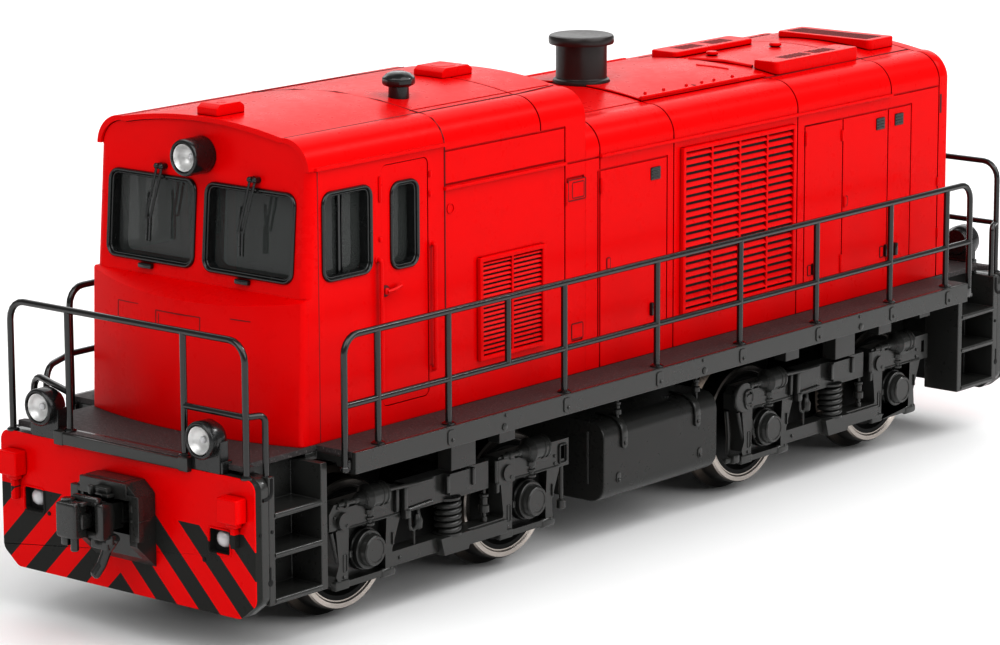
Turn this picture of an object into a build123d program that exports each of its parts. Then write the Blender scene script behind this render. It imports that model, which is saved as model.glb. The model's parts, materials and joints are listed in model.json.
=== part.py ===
"""H0 scale model of a four-axle diesel locomotive with one cab.

Millimetres.  X runs along the locomotive with the cab end at +X, Y to its
left, Z up.  The origin is on the floor under the middle of the model.
"""
import os
from math import radians, tan

from build123d import *

# ---- driving dimensions ---------------------------------------------------
PLATE_X = 56.0              # middle to the outer face of each end plate
BODY_HALF_WIDTH = 12.4      # cab and hoods
WALKWAY = 4.6               # width of each side walkway
WALL = 1.0                  # cab, hood and door walls

FLANGE_R = 6.65             # wheel flange, stands on the floor
FLANGE_HEIGHT = 0.8
FLANGE_THICK = 0.8
TYRE_THICK = 0.9            # tread down to the wheel centre
WHEEL_IN = 7.2              # half the distance between wheel backs
WHEEL_WIDTH = 2.8
HUB_R = 1.9
AXLE_R = 1.2
JOURNAL_R = 0.6
RUNNING_GAP = 0.08          # radial gap of every pin and axle
WHEELBASE = 21.7
PIVOT_R = 2.4

HEADROOM = 3.65             # wheel top up to the deck
SILL_DEPTH = 1.88
DECK_THICK = 0.5
CAB_WALL_HEIGHT = 23.15     # the heights below are above the deck
HIGH_HEIGHT = 26.65
LOW_HEIGHT = 23.5
CAB_LENGTH = 18.04
HIGH_LENGTH = 19.46
SHOULDER_DROP = 3.3         # crown down to the top of the side wall
SHOULDER_Z = 0.9            # crown down to the roof edge
SHOULDER_IN = 3.1           # side wall in to the roof edge
BALLAST_GAP = 0.4           # between the ballast and the hood walls

PLATE_THICK = 0.8
PLATE_HEIGHT = 12.0
PLATE_DROP = 0.8            # deck down to the top of the end plate
STEP_LENGTH = 7.1           # step well along X
STEP_BACK = BODY_HALF_WIDTH - 1.4       # inner wall of the step wells
CHEEK = 0.75                # thickness of the side plates of the steps

RAIL_R = 0.34
RAIL_HEIGHT = 9.85          # side handrail above the deck
RAIL_MID_HEIGHT = 3.95
END_RAIL_HEIGHT = 10.6
END_RAIL_MID_HEIGHT = 4.35
GRAB_R = 0.22

COUPLER_REACH = 6.5         # end plate out to the pulling face
COUPLER_SWING = 12.0        # degrees each way
COUPLER_PIVOT_IN = 3.4      # end plate in to the coupler pivot
COUPLER_PIN_R = 0.7
SHANK_HALF_WIDTH = 1.2
SHANK_HALF_HEIGHT = 1.1

FRAME_IN = 11.2             # back of the bogie side frames
FRAME_THICK = 1.6
FRAME_END = 5.0             # side frame beyond the axle
PEDESTAL_THICK = 0.7
BOGIE_CLEARANCE = 2.6       # side frame to the step well
TANK_CLEARANCE = 3.35       # front wheel flange to the tank
TANK_REAR_CLEARANCE = 1.9
SPRING_R = 1.6
AXLE_BOX_R = 2.0
CYLINDER_R = 1.0

# ---- sizes that follow ----------------------------------------------------
AXLE_Z = FLANGE_R
TREAD_R = FLANGE_R - FLANGE_HEIGHT
RIM_R = TREAD_R - TYRE_THICK
WHEEL_OUT = WHEEL_IN + WHEEL_WIDTH
DECK_TOP = AXLE_Z + FLANGE_R + HEADROOM
DECK_UNDER = DECK_TOP - DECK_THICK
SILL_BOTTOM = DECK_TOP - SILL_DEPTH
SILL_HALF_WIDTH = BODY_HALF_WIDTH + WALKWAY
PLATE_HALF_WIDTH = SILL_HALF_WIDTH - 2.0
PLATE_TOP = DECK_TOP - PLATE_DROP
PLATE_BOTTOM = PLATE_TOP - PLATE_HEIGHT
PLATE_BACK = PLATE_X - PLATE_THICK
STEP_OUT = PLATE_X - 1.7
STEP_IN = STEP_OUT - STEP_LENGTH
SILL_X = STEP_IN - 1.4      # end of the side sills
BOGIE_X = STEP_IN - BOGIE_CLEARANCE - FRAME_END - WHEELBASE / 2

CAB_FRONT = PLATE_X - 8.9   # cab corner at the deck
CAB_REAR = CAB_FRONT - CAB_LENGTH
CAB_WALL_TOP = DECK_TOP + CAB_WALL_HEIGHT
SCREEN_SILL = DECK_TOP + 12.45          # where the nose ends below the windscreens
SCREEN_X = (CAB_FRONT - 0.4, CAB_FRONT - 1.25)      # raked front wall: foot and top
ROOF_FRONT = CAB_FRONT - 1.0
HIGH_REAR = CAB_REAR - HIGH_LENGTH
HIGH_CROWN = DECK_TOP + HIGH_HEIGHT
LOW_CROWN = DECK_TOP + LOW_HEIGHT
HOOD_REAR = 7.7 - PLATE_X

RAIL_Y = SILL_HALF_WIDTH - 0.8
RAIL_TOP = DECK_TOP + RAIL_HEIGHT
RAIL_MID = DECK_TOP + RAIL_MID_HEIGHT
TANK_FRONT = BOGIE_X - WHEELBASE / 2 - FLANGE_R - TANK_CLEARANCE
TANK_REAR = TANK_REAR_CLEARANCE + WHEELBASE / 2 + FLANGE_R - BOGIE_X
TANK_HALF_WIDTH = SILL_HALF_WIDTH - 4.0
TANK_BOTTOM = DECK_TOP - 12.75
TANK_TOP = DECK_TOP - 5.15

COUPLER_X = PLATE_X + COUPLER_REACH
COUPLER_Z = DECK_TOP - 5.35
COUPLER_PIVOT_X = PLATE_X - COUPLER_PIVOT_IN
POCKET_NOSE = 2.2           # pocket in front of the end plate
CAVITY_HALF_WIDTH = (SHANK_HALF_WIDTH + 0.3
                     + (COUPLER_PIVOT_IN + POCKET_NOSE) * tan(radians(COUPLER_SWING)))
POCKET_HALF_WIDTH = CAVITY_HALF_WIDTH + 0.9
POCKET_Z = (COUPLER_Z - SHANK_HALF_HEIGHT - 1.6, COUPLER_Z + SHANK_HALF_HEIGHT + 1.0)
CAVITY_Z = (COUPLER_Z - SHANK_HALF_HEIGHT - 1.0, COUPLER_Z + SHANK_HALF_HEIGHT + 0.5)

BOSS_BOTTOM = DECK_TOP - 4.05           # bolster boss that rests on the bogie
CORE_TOP = BOSS_BOTTOM - 0.1
FRAME_OUT = FRAME_IN + FRAME_THICK
JOURNAL_END = FRAME_IN + PEDESTAL_THICK - 0.1
FRAME_TOP = AXLE_Z + 4.75

ENDS = (("front", 1), ("rear", -1))
SIDES = (("left", 1), ("right", -1))

os.makedirs("parts", exist_ok=True)


def save(builder, name):
    """Label a finished piece and write it under its node name."""
    builder.part.label = name
    export_step(builder.part, f"parts/{name}.step")


def span(sign, near, far):
    """Pair of limits at one sign, in rising order."""
    return sorted((sign * near, sign * far))


def block(x, y, z, mode=Mode.ADD):
    """Box between pairs of limits, added to the part that is being built."""
    middle = tuple((low + high) / 2 for low, high in (x, y, z))
    size = [high - low for low, high in (x, y, z)]
    with Locations(middle):
        return Box(*size, mode=mode)


def wire(points, radius, bend=0.0, mode=Mode.ADD):
    """Thin bar with eight flats through the points, with its corners bent."""
    with BuildLine() as path:
        if bend:
            FilletPolyline(*points, radius=bend)
        else:
            Polyline(*points)
    start = path.line @ 0
    with BuildSketch(Plane(origin=start, z_dir=path.line % 0)) as section:
        RegularPolygon(radius, 8)
    sweep(sections=section.sketch, path=path.line, transition=Transition.RIGHT, mode=mode)


def drum(centre, radius, length, axis="z", mode=Mode.ADD):
    """Cylinder about its centre, along one axis."""
    turn = {"x": (0, 90, 0), "y": (90, 0, 0), "z": (0, 0, 0)}[axis]
    with Locations(Location(centre, turn)):
        return Cylinder(radius, length, mode=mode)


def outline_sketch(plane, *outlines):
    """Face made of one or more closed outlines, joined."""
    with BuildSketch(plane) as profile:
        for outline in outlines:
            with BuildLine():
                Polyline(*outline, close=True)
            make_face()
    return profile.sketch


def plate_xz(y, *outlines, mode=Mode.ADD):
    """Flat piece with outlines in X and Z, between two Y limits."""
    face = outline_sketch(Plane.XZ.offset(-y[1]), *outlines)
    extrude(to_extrude=face, amount=y[1] - y[0], mode=mode)


def turned(centre, profile, axis, mode=Mode.ADD):
    """Turned piece: profile of (along the axis, radius), spun about the axis."""
    base = {"x": Plane.XZ, "y": Plane.YZ, "z": Plane.ZX}[axis]
    with BuildSketch(Plane(origin=centre, x_dir=base.x_dir, z_dir=base.z_dir)) as face:
        with BuildLine():
            Polyline(*profile, close=True)
        make_face()
    revolve(profiles=face.sketch, axis=Axis(centre, base.x_dir), mode=mode)


def hood_section(crown, inset=0.0):
    """Cross section of roof and hoods in the YZ plane, from deck to crown."""
    half = BODY_HALF_WIDTH - inset
    top = crown - inset
    side_top = crown - SHOULDER_DROP
    edge_y, edge_z = BODY_HALF_WIDTH - SHOULDER_IN - 0.7 * inset, top - SHOULDER_Z
    bow_y = edge_y + 0.72 * (half - edge_y)
    bow_z = edge_z - 0.3 * (edge_z - side_top)
    with BuildSketch(Plane.YZ) as section:
        with BuildLine():
            Line((half, DECK_TOP), (half, side_top))
            ThreePointArc((half, side_top), (bow_y, bow_z), (edge_y, edge_z))
            ThreePointArc((edge_y, edge_z), (0, top), (-edge_y, edge_z))
            ThreePointArc((-edge_y, edge_z), (-bow_y, bow_z), (-half, side_top))
            Polyline((-half, side_top), (-half, DECK_TOP), (half, DECK_TOP))
        make_face()
    return section.sketch


def strip(low, high):
    """Wide strip of the YZ plane between two heights."""
    with BuildSketch(Plane.YZ) as face:
        with Locations((0, (low + high) / 2)):
            Rectangle(4 * BODY_HALF_WIDTH, high - low)
    return face.sketch


def hood(crown, low_x, high_x, inset=0.0, mode=Mode.ADD):
    """Hood section pulled along X."""
    face = hood_section(crown, inset).moved(Location((low_x, 0, 0)))
    extrude(to_extrude=face, amount=high_x - low_x, dir=(1, 0, 0), mode=mode)


def opening(limits, corner, y, grow=0.0, mode=Mode.SUBTRACT):
    """Rounded rectangle in the XZ plane, through a side wall."""
    x0, x1, z0, z1 = limits
    with BuildSketch(Plane.XZ.offset(-y[1])) as shape:
        with Locations(((x0 + x1) / 2, (z0 + z1) / 2)):
            RectangleRounded(x1 - x0 + 2 * grow, z1 - z0 + 2 * grow, corner + grow)
    extrude(to_extrude=shape.sketch, amount=y[1] - y[0], mode=mode)


# ---- underframe -----------------------------------------------------------
# hangers under the sills: centre x from the middle, length, bottom above the axles
HANGERS = ((21.8, 2.2, 6.2), (-21.0, 2.2, 6.2), (-36.6, 2.2, 6.2), (-43.6, 1.9, 6.7))
HANGER_Y = (12.0, 13.4)
BEARER_X = -0.75            # bearer over each bogie, from the pivot
BEARER_LENGTH = 3.3
BEARER_BOTTOM = FRAME_TOP + 0.3
BOLSTER_HALF_LENGTH = 3.4
SPINE_BOTTOM = DECK_TOP - 2.75
END_WINDOW = (9.8, 12.2, DECK_TOP - 7.55, DECK_TOP - 5.45)     # lamp windows in the end plates
CROSS_MEMBERS = (-20.0, -12.0, -4.0, 4.0, 12.0)


def plate_face(plane):
    """Outline of an end plate: chamfered feet and rounded top corners."""
    foot = PLATE_HALF_WIDTH - 1.8
    with BuildSketch(plane) as face:
        with BuildLine():
            Polyline((-PLATE_HALF_WIDTH, PLATE_BOTTOM + 1.45), (-foot, PLATE_BOTTOM), (foot, PLATE_BOTTOM),
                     (PLATE_HALF_WIDTH, PLATE_BOTTOM + 1.45), (PLATE_HALF_WIDTH, PLATE_TOP),
                     (-PLATE_HALF_WIDTH, PLATE_TOP), close=True)
        make_face()
        fillet(face.vertices().group_by(Axis.Z)[-1], 1.0)
    return face.sketch


with BuildPart() as underframe:
    block((-STEP_IN, STEP_IN), (-SILL_HALF_WIDTH + 1, SILL_HALF_WIDTH - 1), (SILL_BOTTOM + 0.7, DECK_UNDER))
    for side in (-1, 1):
        # side sill: a channel that opens inwards, with a lip at its foot
        web = span(side, SILL_HALF_WIDTH - 0.5, SILL_HALF_WIDTH)
        block((-SILL_X, SILL_X), web, (SILL_BOTTOM, DECK_TOP))
        block((-SILL_X, SILL_X), span(side, SILL_HALF_WIDTH - 1.6, SILL_HALF_WIDTH), (SILL_BOTTOM, SILL_BOTTOM + 0.4))
        block((-SILL_X, SILL_X), span(side, SILL_HALF_WIDTH - 2.2, SILL_HALF_WIDTH - 0.4), (SILL_BOTTOM + 0.4, DECK_UNDER))
        corner = span(side, STEP_BACK + 1.6, SILL_HALF_WIDTH + 1)
        for end in (-1, 1):
            block(span(end, SILL_X, STEP_IN + 2), corner, (SILL_BOTTOM - 1, DECK_TOP), mode=Mode.SUBTRACT)
        for x, length, height in HANGERS:
            block((x - length / 2, x + length / 2), span(side, *HANGER_Y), (AXLE_Z + height, DECK_UNDER))
        for end in (-1, 1):
            x = end * BOGIE_X + BEARER_X
            pad = span(side, FRAME_OUT - 0.8, FRAME_OUT + 0.8)
            block((x - BEARER_LENGTH / 2, x + BEARER_LENGTH / 2), pad, (BEARER_BOTTOM, DECK_UNDER))
    block((-STEP_IN, STEP_IN), (-5.5, 5.5), (SPINE_BOTTOM, SILL_BOTTOM + 0.7))
    for x in CROSS_MEMBERS:
        block((x - 0.4, x + 0.4), (-SILL_HALF_WIDTH + 2, SILL_HALF_WIDTH - 2), (SILL_BOTTOM, SILL_BOTTOM + 0.8))
    for end in (-1, 1):
        # porch floor, end beam and bolster with its boss and centre pin
        block(span(end, SILL_X, PLATE_BACK), (-STEP_BACK, STEP_BACK), (SILL_BOTTOM - 0.6, DECK_UNDER))
        beam = span(end, STEP_OUT, PLATE_BACK)
        extrude(to_extrude=plate_face(Plane.YZ.offset(beam[0])), amount=beam[1] - beam[0])
        bolster = [(end * BOGIE_X + x, z) for x, z in
                   ((-BOLSTER_HALF_LENGTH, DECK_UNDER), (BOLSTER_HALF_LENGTH, DECK_UNDER),
                    (BOLSTER_HALF_LENGTH - 1, SPINE_BOTTOM), (1 - BOLSTER_HALF_LENGTH, SPINE_BOTTOM))]
        plate_xz((-STEP_BACK, STEP_BACK), bolster)
        drum((end * BOGIE_X, 0, (BOSS_BOTTOM + SILL_BOTTOM) / 2), PIVOT_R + 1.6, SILL_BOTTOM - BOSS_BOTTOM)
        pin_bottom = BOSS_BOTTOM - 2.9
        drum((end * BOGIE_X, 0, (pin_bottom + SILL_BOTTOM) / 2), PIVOT_R, SILL_BOTTOM - pin_bottom)
        mouth = span(end, STEP_OUT - 1, PLATE_X + 1)
        block(mouth, (-POCKET_HALF_WIDTH + 0.3, POCKET_HALF_WIDTH - 0.3), POCKET_Z, mode=Mode.SUBTRACT)
        for side in (-1, 1):
            block(mouth, span(side, *END_WINDOW[:2]), END_WINDOW[2:], mode=Mode.SUBTRACT)
save(underframe, "underframe")

with BuildPart() as walkways:
    for side in (-1, 1):
        block((-SILL_X, SILL_X), span(side, BODY_HALF_WIDTH, SILL_HALF_WIDTH - 0.5), (DECK_UNDER, DECK_TOP))
save(walkways, "walkways")

PORCH_HALF_WIDTH = STEP_BACK + 1.6
LEDGE_HALF_WIDTH = 7.5
for end_name, end in ENDS:
    with BuildPart() as porch_deck:
        # narrow between the step wells, wide over the end beam
        half = [(SILL_X, PORCH_HALF_WIDTH), (STEP_OUT - 0.3, PORCH_HALF_WIDTH), (STEP_OUT + 0.2, PORCH_HALF_WIDTH + 1),
                (PLATE_BACK, PORCH_HALF_WIDTH + 1)]
        plan = [(end * x, y) for x, y in half] + [(end * x, -y) for x, y in reversed(half)]
        extrude(to_extrude=outline_sketch(Plane.XY.offset(DECK_UNDER), plan), amount=DECK_THICK)
        # treadplate ledge that closes the top of the end plate
        ledge = [(PLATE_BACK, DECK_UNDER), (PLATE_BACK, DECK_TOP + 0.1), (PLATE_X + 0.2, DECK_TOP + 0.1),
                 (PLATE_X + 0.2, PLATE_TOP + 0.3), (PLATE_X, PLATE_TOP), (PLATE_BACK, PLATE_TOP)]
        plate_xz((-LEDGE_HALF_WIDTH, LEDGE_HALF_WIDTH), [(end * x, z) for x, z in ledge])
    save(porch_deck, f"porch_deck_{end_name}")

# ---- end plates -----------------------------------------------------------
SOCKET_Y = (11.9, 14.1)     # jumper sockets on the end plates
SOCKET_Z = (DECK_TOP - 4.35, DECK_TOP - 2.35)
SOCKET_DEPTH = 1.2

for end_name, end in ENDS:
    with BuildPart() as end_plate:
        with BuildSketch(Plane.YZ.offset(end * PLATE_X)) as face:
            add(plate_face(Plane.XY))
            y0, y1, z0, z1 = END_WINDOW
            with Locations((-(y0 + y1) / 2, (z0 + z1) / 2), ((y0 + y1) / 2, (z0 + z1) / 2)):
                RectangleRounded(y1 - y0, z1 - z0, 0.25, mode=Mode.SUBTRACT)
            with Locations((0, sum(POCKET_Z) / 2)):
                Rectangle(2 * POCKET_HALF_WIDTH - 0.6, POCKET_Z[1] - POCKET_Z[0], mode=Mode.SUBTRACT)
        extrude(amount=-end * PLATE_THICK)
        for side in (-1, 1):
            block(span(end, PLATE_X, PLATE_X + SOCKET_DEPTH), span(side, *SOCKET_Y), SOCKET_Z)
            centre = (end * (PLATE_X + SOCKET_DEPTH), side * sum(SOCKET_Y) / 2, sum(SOCKET_Z) / 2)
            drum(centre, 0.65, 0.8, axis="x", mode=Mode.SUBTRACT)
    save(end_plate, f"end_plate_{end_name}")

# ---- coupler pockets and couplers -----------------------------------------
POCKET_SHOULDER = COUPLER_Z + 1.8
POCKET_FOOT = COUPLER_Z - 4.6           # foot of the housing at the end plate
HEAD_HALF_HEIGHT = 1.4
# knuckle in plan: arm, mouth and knuckle, as x back from the pulling face and y
ARM = ((2.5, 1.2), (1.9, 2.5), (0.5, 2.9), (0.0, 2.3), (0.8, 1.5))
KNUCKLE = ((0.8, -0.5), (0.0, -0.6), (0.0, -1.9), (0.9, -2.3), (2.2, -1.9), (2.5, -1.2))

for end_name, end in ENDS:
    with BuildPart() as pocket:
        # housing in front of the end plate: raised middle, shoulders, foot slanted back
        x_front = PLATE_X + POCKET_NOSE
        with BuildSketch(Plane.YZ.offset(end * PLATE_X)) as front:
            with BuildLine():
                inner = POCKET_HALF_WIDTH - 1.2
                Polyline((-POCKET_HALF_WIDTH, POCKET_FOOT), (POCKET_HALF_WIDTH, POCKET_FOOT),
                         (POCKET_HALF_WIDTH, POCKET_SHOULDER), (inner, POCKET_Z[1] + 0.7),
                         (-inner, POCKET_Z[1] + 0.7), (-POCKET_HALF_WIDTH, POCKET_SHOULDER), close=True)
            make_face()
        extrude(amount=end * POCKET_NOSE)
        foot = [(PLATE_X - 1, POCKET_FOOT - 0.1), (x_front + 1, POCKET_FOOT - 0.1), (x_front + 1, POCKET_Z[0] + 1.0),
                (x_front, POCKET_Z[0] + 0.2), (PLATE_X, POCKET_FOOT)]
        plate_xz((-9, 9), [(end * x, z) for x, z in foot], mode=Mode.SUBTRACT)
        block(span(end, COUPLER_PIVOT_X - 3.0, STEP_OUT), (-POCKET_HALF_WIDTH, POCKET_HALF_WIDTH),
              (POCKET_Z[0] - 0.7, SILL_BOTTOM - 0.6))
        block(span(end, STEP_OUT, PLATE_X), (0.3 - POCKET_HALF_WIDTH, POCKET_HALF_WIDTH - 0.3), POCKET_Z)
        cavity = (-CAVITY_HALF_WIDTH, CAVITY_HALF_WIDTH)
        block(span(end, COUPLER_PIVOT_X - 2.2, x_front + 1), cavity, CAVITY_Z, mode=Mode.SUBTRACT)
        block(span(end, x_front - 1.5, x_front + 1), cavity, (POCKET_Z[0] - 2, COUPLER_Z), mode=Mode.SUBTRACT)
        drum((end * COUPLER_PIVOT_X, 0, sum(CAVITY_Z) / 2), COUPLER_PIN_R, CAVITY_Z[1] - CAVITY_Z[0])
    save(pocket, f"coupler_pocket_{end_name}")

    with BuildPart() as coupler:
        neck = COUPLER_X - 2.3
        shank = span(end, COUPLER_PIVOT_X - 1.4, neck)
        block(shank, (-SHANK_HALF_WIDTH, SHANK_HALF_WIDTH),
              (COUPLER_Z - SHANK_HALF_HEIGHT, COUPLER_Z + SHANK_HALF_HEIGHT))
        with BuildSketch(Plane.XY.offset(COUPLER_Z - HEAD_HALF_HEIGHT)) as plan:
            with BuildLine():
                arm = [(end * (COUPLER_X - x), end * y) for x, y in ARM]
                knuckle = [(end * (COUPLER_X - x), end * y) for x, y in KNUCKLE]
                Polyline(*arm)
                ThreePointArc(arm[-1], (end * (COUPLER_X - 1.6), end * 0.6), knuckle[0])
                Polyline(*knuckle)
                Line(knuckle[-1], arm[0])
            make_face()
        extrude(amount=2 * HEAD_HALF_HEIGHT)
        drum((end * COUPLER_PIVOT_X, 0, COUPLER_Z), COUPLER_PIN_R + RUNNING_GAP, 3, mode=Mode.SUBTRACT)
        # trip pin below the head, and the pivot of the knuckle on top of it
        head_bottom = COUPLER_Z - HEAD_HALF_HEIGHT
        wire([(end * (neck + 0.6), 0, head_bottom + 0.4), (end * (neck + 0.4), 0, head_bottom - 1.8),
              (end * (neck + 1.5), 0, head_bottom - 2.7)], 0.3, bend=0.7)
        drum((end * (COUPLER_X - 0.9), end * -1.4, COUPLER_Z), 0.4, 2 * HEAD_HALF_HEIGHT + 0.5)
    save(coupler, f"coupler_{end_name}")

# ---- steps ----------------------------------------------------------------
TREAD_DROPS = (3.95, 7.35)              # upper treads below the deck
TREAD_THICK = 0.5
STEP_BOTTOM = PLATE_BOTTOM + 1.05
for end_name, end in ENDS:
    with BuildPart() as steps:
        for side in (-1, 1):
            depth = span(side, STEP_BACK, PLATE_HALF_WIDTH)
            # cheek plates with a rounded outer top corner
            for x0 in (STEP_IN, STEP_OUT - CHEEK):
                with BuildSketch(Plane.YZ.offset(min(end * x0, end * (x0 + CHEEK)))) as cheek:
                    with Locations((side * (STEP_BACK + PLATE_HALF_WIDTH) / 2, (STEP_BOTTOM + PLATE_TOP) / 2)):
                        Rectangle(PLATE_HALF_WIDTH - STEP_BACK, PLATE_TOP - STEP_BOTTOM)
                    top = cheek.vertices().group_by(Axis.Z)[-1]
                    fillet(top.sort_by(Axis.Y)[-1 if side > 0 else 0], 1.2)
                extrude(to_extrude=cheek.sketch, amount=CHEEK)
            well = span(end, STEP_IN, STEP_OUT)
            block(well, span(side, STEP_BACK, STEP_BACK + 0.6), (STEP_BOTTOM, DECK_UNDER))
            block(well, depth, (STEP_BOTTOM, STEP_BOTTOM + TREAD_THICK))
            for drop in TREAD_DROPS:
                block(well, depth, (DECK_TOP - drop - TREAD_THICK, DECK_TOP - drop))
    save(steps, f"steps_{end_name}")

# ---- fuel tank ------------------------------------------------------------
TANK_CORNER = 1.6
STRAP_THICK = 0.25
STRAP_IN = 0.18 * (TANK_FRONT - TANK_REAR)         # strap centre from each end of the tank


def tank_section(plane, grow=0.0):
    """Cross section of the tank with four rounded corners."""
    with BuildSketch(plane) as section:
        with Locations((0, (TANK_BOTTOM + TANK_TOP) / 2)):
            RectangleRounded(2 * (TANK_HALF_WIDTH + grow), TANK_TOP - TANK_BOTTOM + 2 * grow, TANK_CORNER + grow)
    return section.sketch


with BuildPart() as fuel_tank:
    extrude(to_extrude=tank_section(Plane.YZ.offset(TANK_REAR)), amount=TANK_FRONT - TANK_REAR)
    saddle = [(TANK_REAR + 3.2, TANK_TOP), (TANK_FRONT - 3.2, TANK_TOP), (TANK_FRONT - 4.2, SPINE_BOTTOM),
              (TANK_REAR + 4.2, SPINE_BOTTOM)]
    plate_xz((-5.5, 5.5), saddle)
    for side in (-1, 1):
        # filler neck on the shoulder of the tank
        drum((TANK_REAR + 0.652 * (TANK_FRONT - TANK_REAR), side * (TANK_HALF_WIDTH - 0.7), TANK_TOP - 0.6), 0.6, 1.6)
save(fuel_tank, "fuel_tank")

with BuildPart() as tank_straps:
    for x in (TANK_REAR + STRAP_IN, TANK_FRONT - STRAP_IN):
        plane = Plane.YZ.offset(x - 0.4)
        extrude(to_extrude=tank_section(plane, STRAP_THICK), amount=0.8)
        extrude(to_extrude=tank_section(plane), amount=0.8, mode=Mode.SUBTRACT)
    block((TANK_REAR, TANK_FRONT), (3 - TANK_HALF_WIDTH, TANK_HALF_WIDTH - 3), (TANK_TOP - 1, TANK_TOP + 1),
          mode=Mode.SUBTRACT)
save(tank_straps, "tank_straps")

# ---- cab ------------------------------------------------------------------
NOSE_SEAT = CAB_FRONT - 0.7             # front wall behind the nose
DOOR = (CAB_REAR + 2.04, CAB_REAR + 8.09, DECK_TOP + 1.65, DECK_TOP + 22.55)
CAB_WINDOW = (DOOR[1] + 1.55, CAB_FRONT - 2.75, DECK_TOP + 13.85, DECK_TOP + 20.95)
DOOR_WINDOW = (CAB_REAR + 3.6, CAB_REAR + 6.65, DECK_TOP + 13.6, DECK_TOP + 20.65)
DOOR_GAP = 0.05
SCREEN_Y = (0.8, BODY_HALF_WIDTH - 1.75)
SCREEN_Z = (DECK_TOP + 13.8, DECK_TOP + 20.9)
WINDOW_CORNER = 0.8
WINDOW_RIM = 0.4
RIM_PROUD = 0.22
GLASS_THICK = 0.4
GLASS_LAP = 0.3             # glass behind the wall round its opening
FLOOR_TOP = DECK_TOP + 1.25
ROOF_RIM = 0.45             # roof edge round the gable
GUTTER = 0.3


def raked_x(z, back=0.0):
    """X of the raked front wall at one height, or of a face behind it."""
    share = (z - SCREEN_SILL) / (CAB_WALL_TOP - SCREEN_SILL)
    return SCREEN_X[0] + share * (SCREEN_X[1] - SCREEN_X[0]) - back


def raked_layer(low, high, back, front):
    """Outline of a layer parallel to the raked front wall."""
    return [(raked_x(low, back), low), (raked_x(low, front), low), (raked_x(high, front), high),
            (raked_x(high, back), high)]


def cab_plan(z):
    """Plan of the upper cab walls at one height, with rounded front corners."""
    with BuildSketch(Plane.XY.offset(z)) as plan:
        with BuildLine():
            Polyline((CAB_REAR, -BODY_HALF_WIDTH), (raked_x(z), -BODY_HALF_WIDTH),
                     (raked_x(z), BODY_HALF_WIDTH), (CAB_REAR, BODY_HALF_WIDTH), close=True)
        make_face()
        fillet(plan.vertices().group_by(Axis.X)[-1], 0.9)
    return plan.sketch


def nose_plan(z, rake):
    """Plan of the nose: short sides, rounded corners and a bowed front."""
    x_side = CAB_FRONT + 0.3 - rake
    with BuildSketch(Plane.XY.offset(z)) as plan:
        with BuildLine():
            Line((NOSE_SEAT, -BODY_HALF_WIDTH), (x_side, -BODY_HALF_WIDTH))
            ThreePointArc((x_side, -BODY_HALF_WIDTH), (x_side + 2.0, 0), (x_side, BODY_HALF_WIDTH))
            Line((x_side, BODY_HALF_WIDTH), (NOSE_SEAT, BODY_HALF_WIDTH))
            Line((NOSE_SEAT, BODY_HALF_WIDTH), (NOSE_SEAT, -BODY_HALF_WIDTH))
        make_face()
        fillet(plan.vertices().group_by(Axis.X)[-1], 0.55)
    return plan.sketch


def screens(x, grow=0.0, mode=Mode.SUBTRACT):
    """Both windscreen shapes, through the front wall."""
    with BuildSketch(Plane.YZ.offset(x[0])) as shape:
        middle = (sum(SCREEN_Y) / 2, sum(SCREEN_Z) / 2)
        with Locations(middle, (-middle[0], middle[1])):
            RectangleRounded(SCREEN_Y[1] - SCREEN_Y[0] + 2 * grow, SCREEN_Z[1] - SCREEN_Z[0] + 2 * grow,
                             WINDOW_CORNER + grow)
    extrude(to_extrude=shape.sketch, amount=x[1] - x[0], mode=mode)


with BuildPart() as cab_body:
    block((CAB_REAR, NOSE_SEAT), (-BODY_HALF_WIDTH, BODY_HALF_WIDTH), (DECK_TOP, SCREEN_SILL))
    loft(sections=[cab_plan(SCREEN_SILL), cab_plan(CAB_WALL_TOP)], ruled=True)
    inside = [(CAB_REAR - 1, DECK_TOP - 1), (NOSE_SEAT - WALL, DECK_TOP - 1), (NOSE_SEAT - WALL, SCREEN_SILL - 1),
              (raked_x(SCREEN_SILL, WALL), SCREEN_SILL), (raked_x(CAB_WALL_TOP + 1, WALL), CAB_WALL_TOP + 1),
              (CAB_REAR - 1, CAB_WALL_TOP + 1)]
    plate_xz((WALL - BODY_HALF_WIDTH, BODY_HALF_WIDTH - WALL), inside, mode=Mode.SUBTRACT)
    for side in (-1, 1):
        through = span(side, BODY_HALF_WIDTH - WALL - 0.5, BODY_HALF_WIDTH + 0.5)
        opening(CAB_WINDOW, WINDOW_CORNER, through)
        opening(DOOR, 0.6, through)
    screens((NOSE_SEAT - 2 * WALL, CAB_FRONT + 1))
    # gable of the front wall, up into the roof
    gable = hood_section(HIGH_CROWN, ROOF_RIM + 0.05) & strip(CAB_WALL_TOP - 0.1, HIGH_CROWN)
    extrude(to_extrude=gable.moved(Location((SCREEN_X[1] - WALL, 0, 0))), amount=WALL, dir=(1, 0, 0))
save(cab_body, "cab_body")

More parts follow.
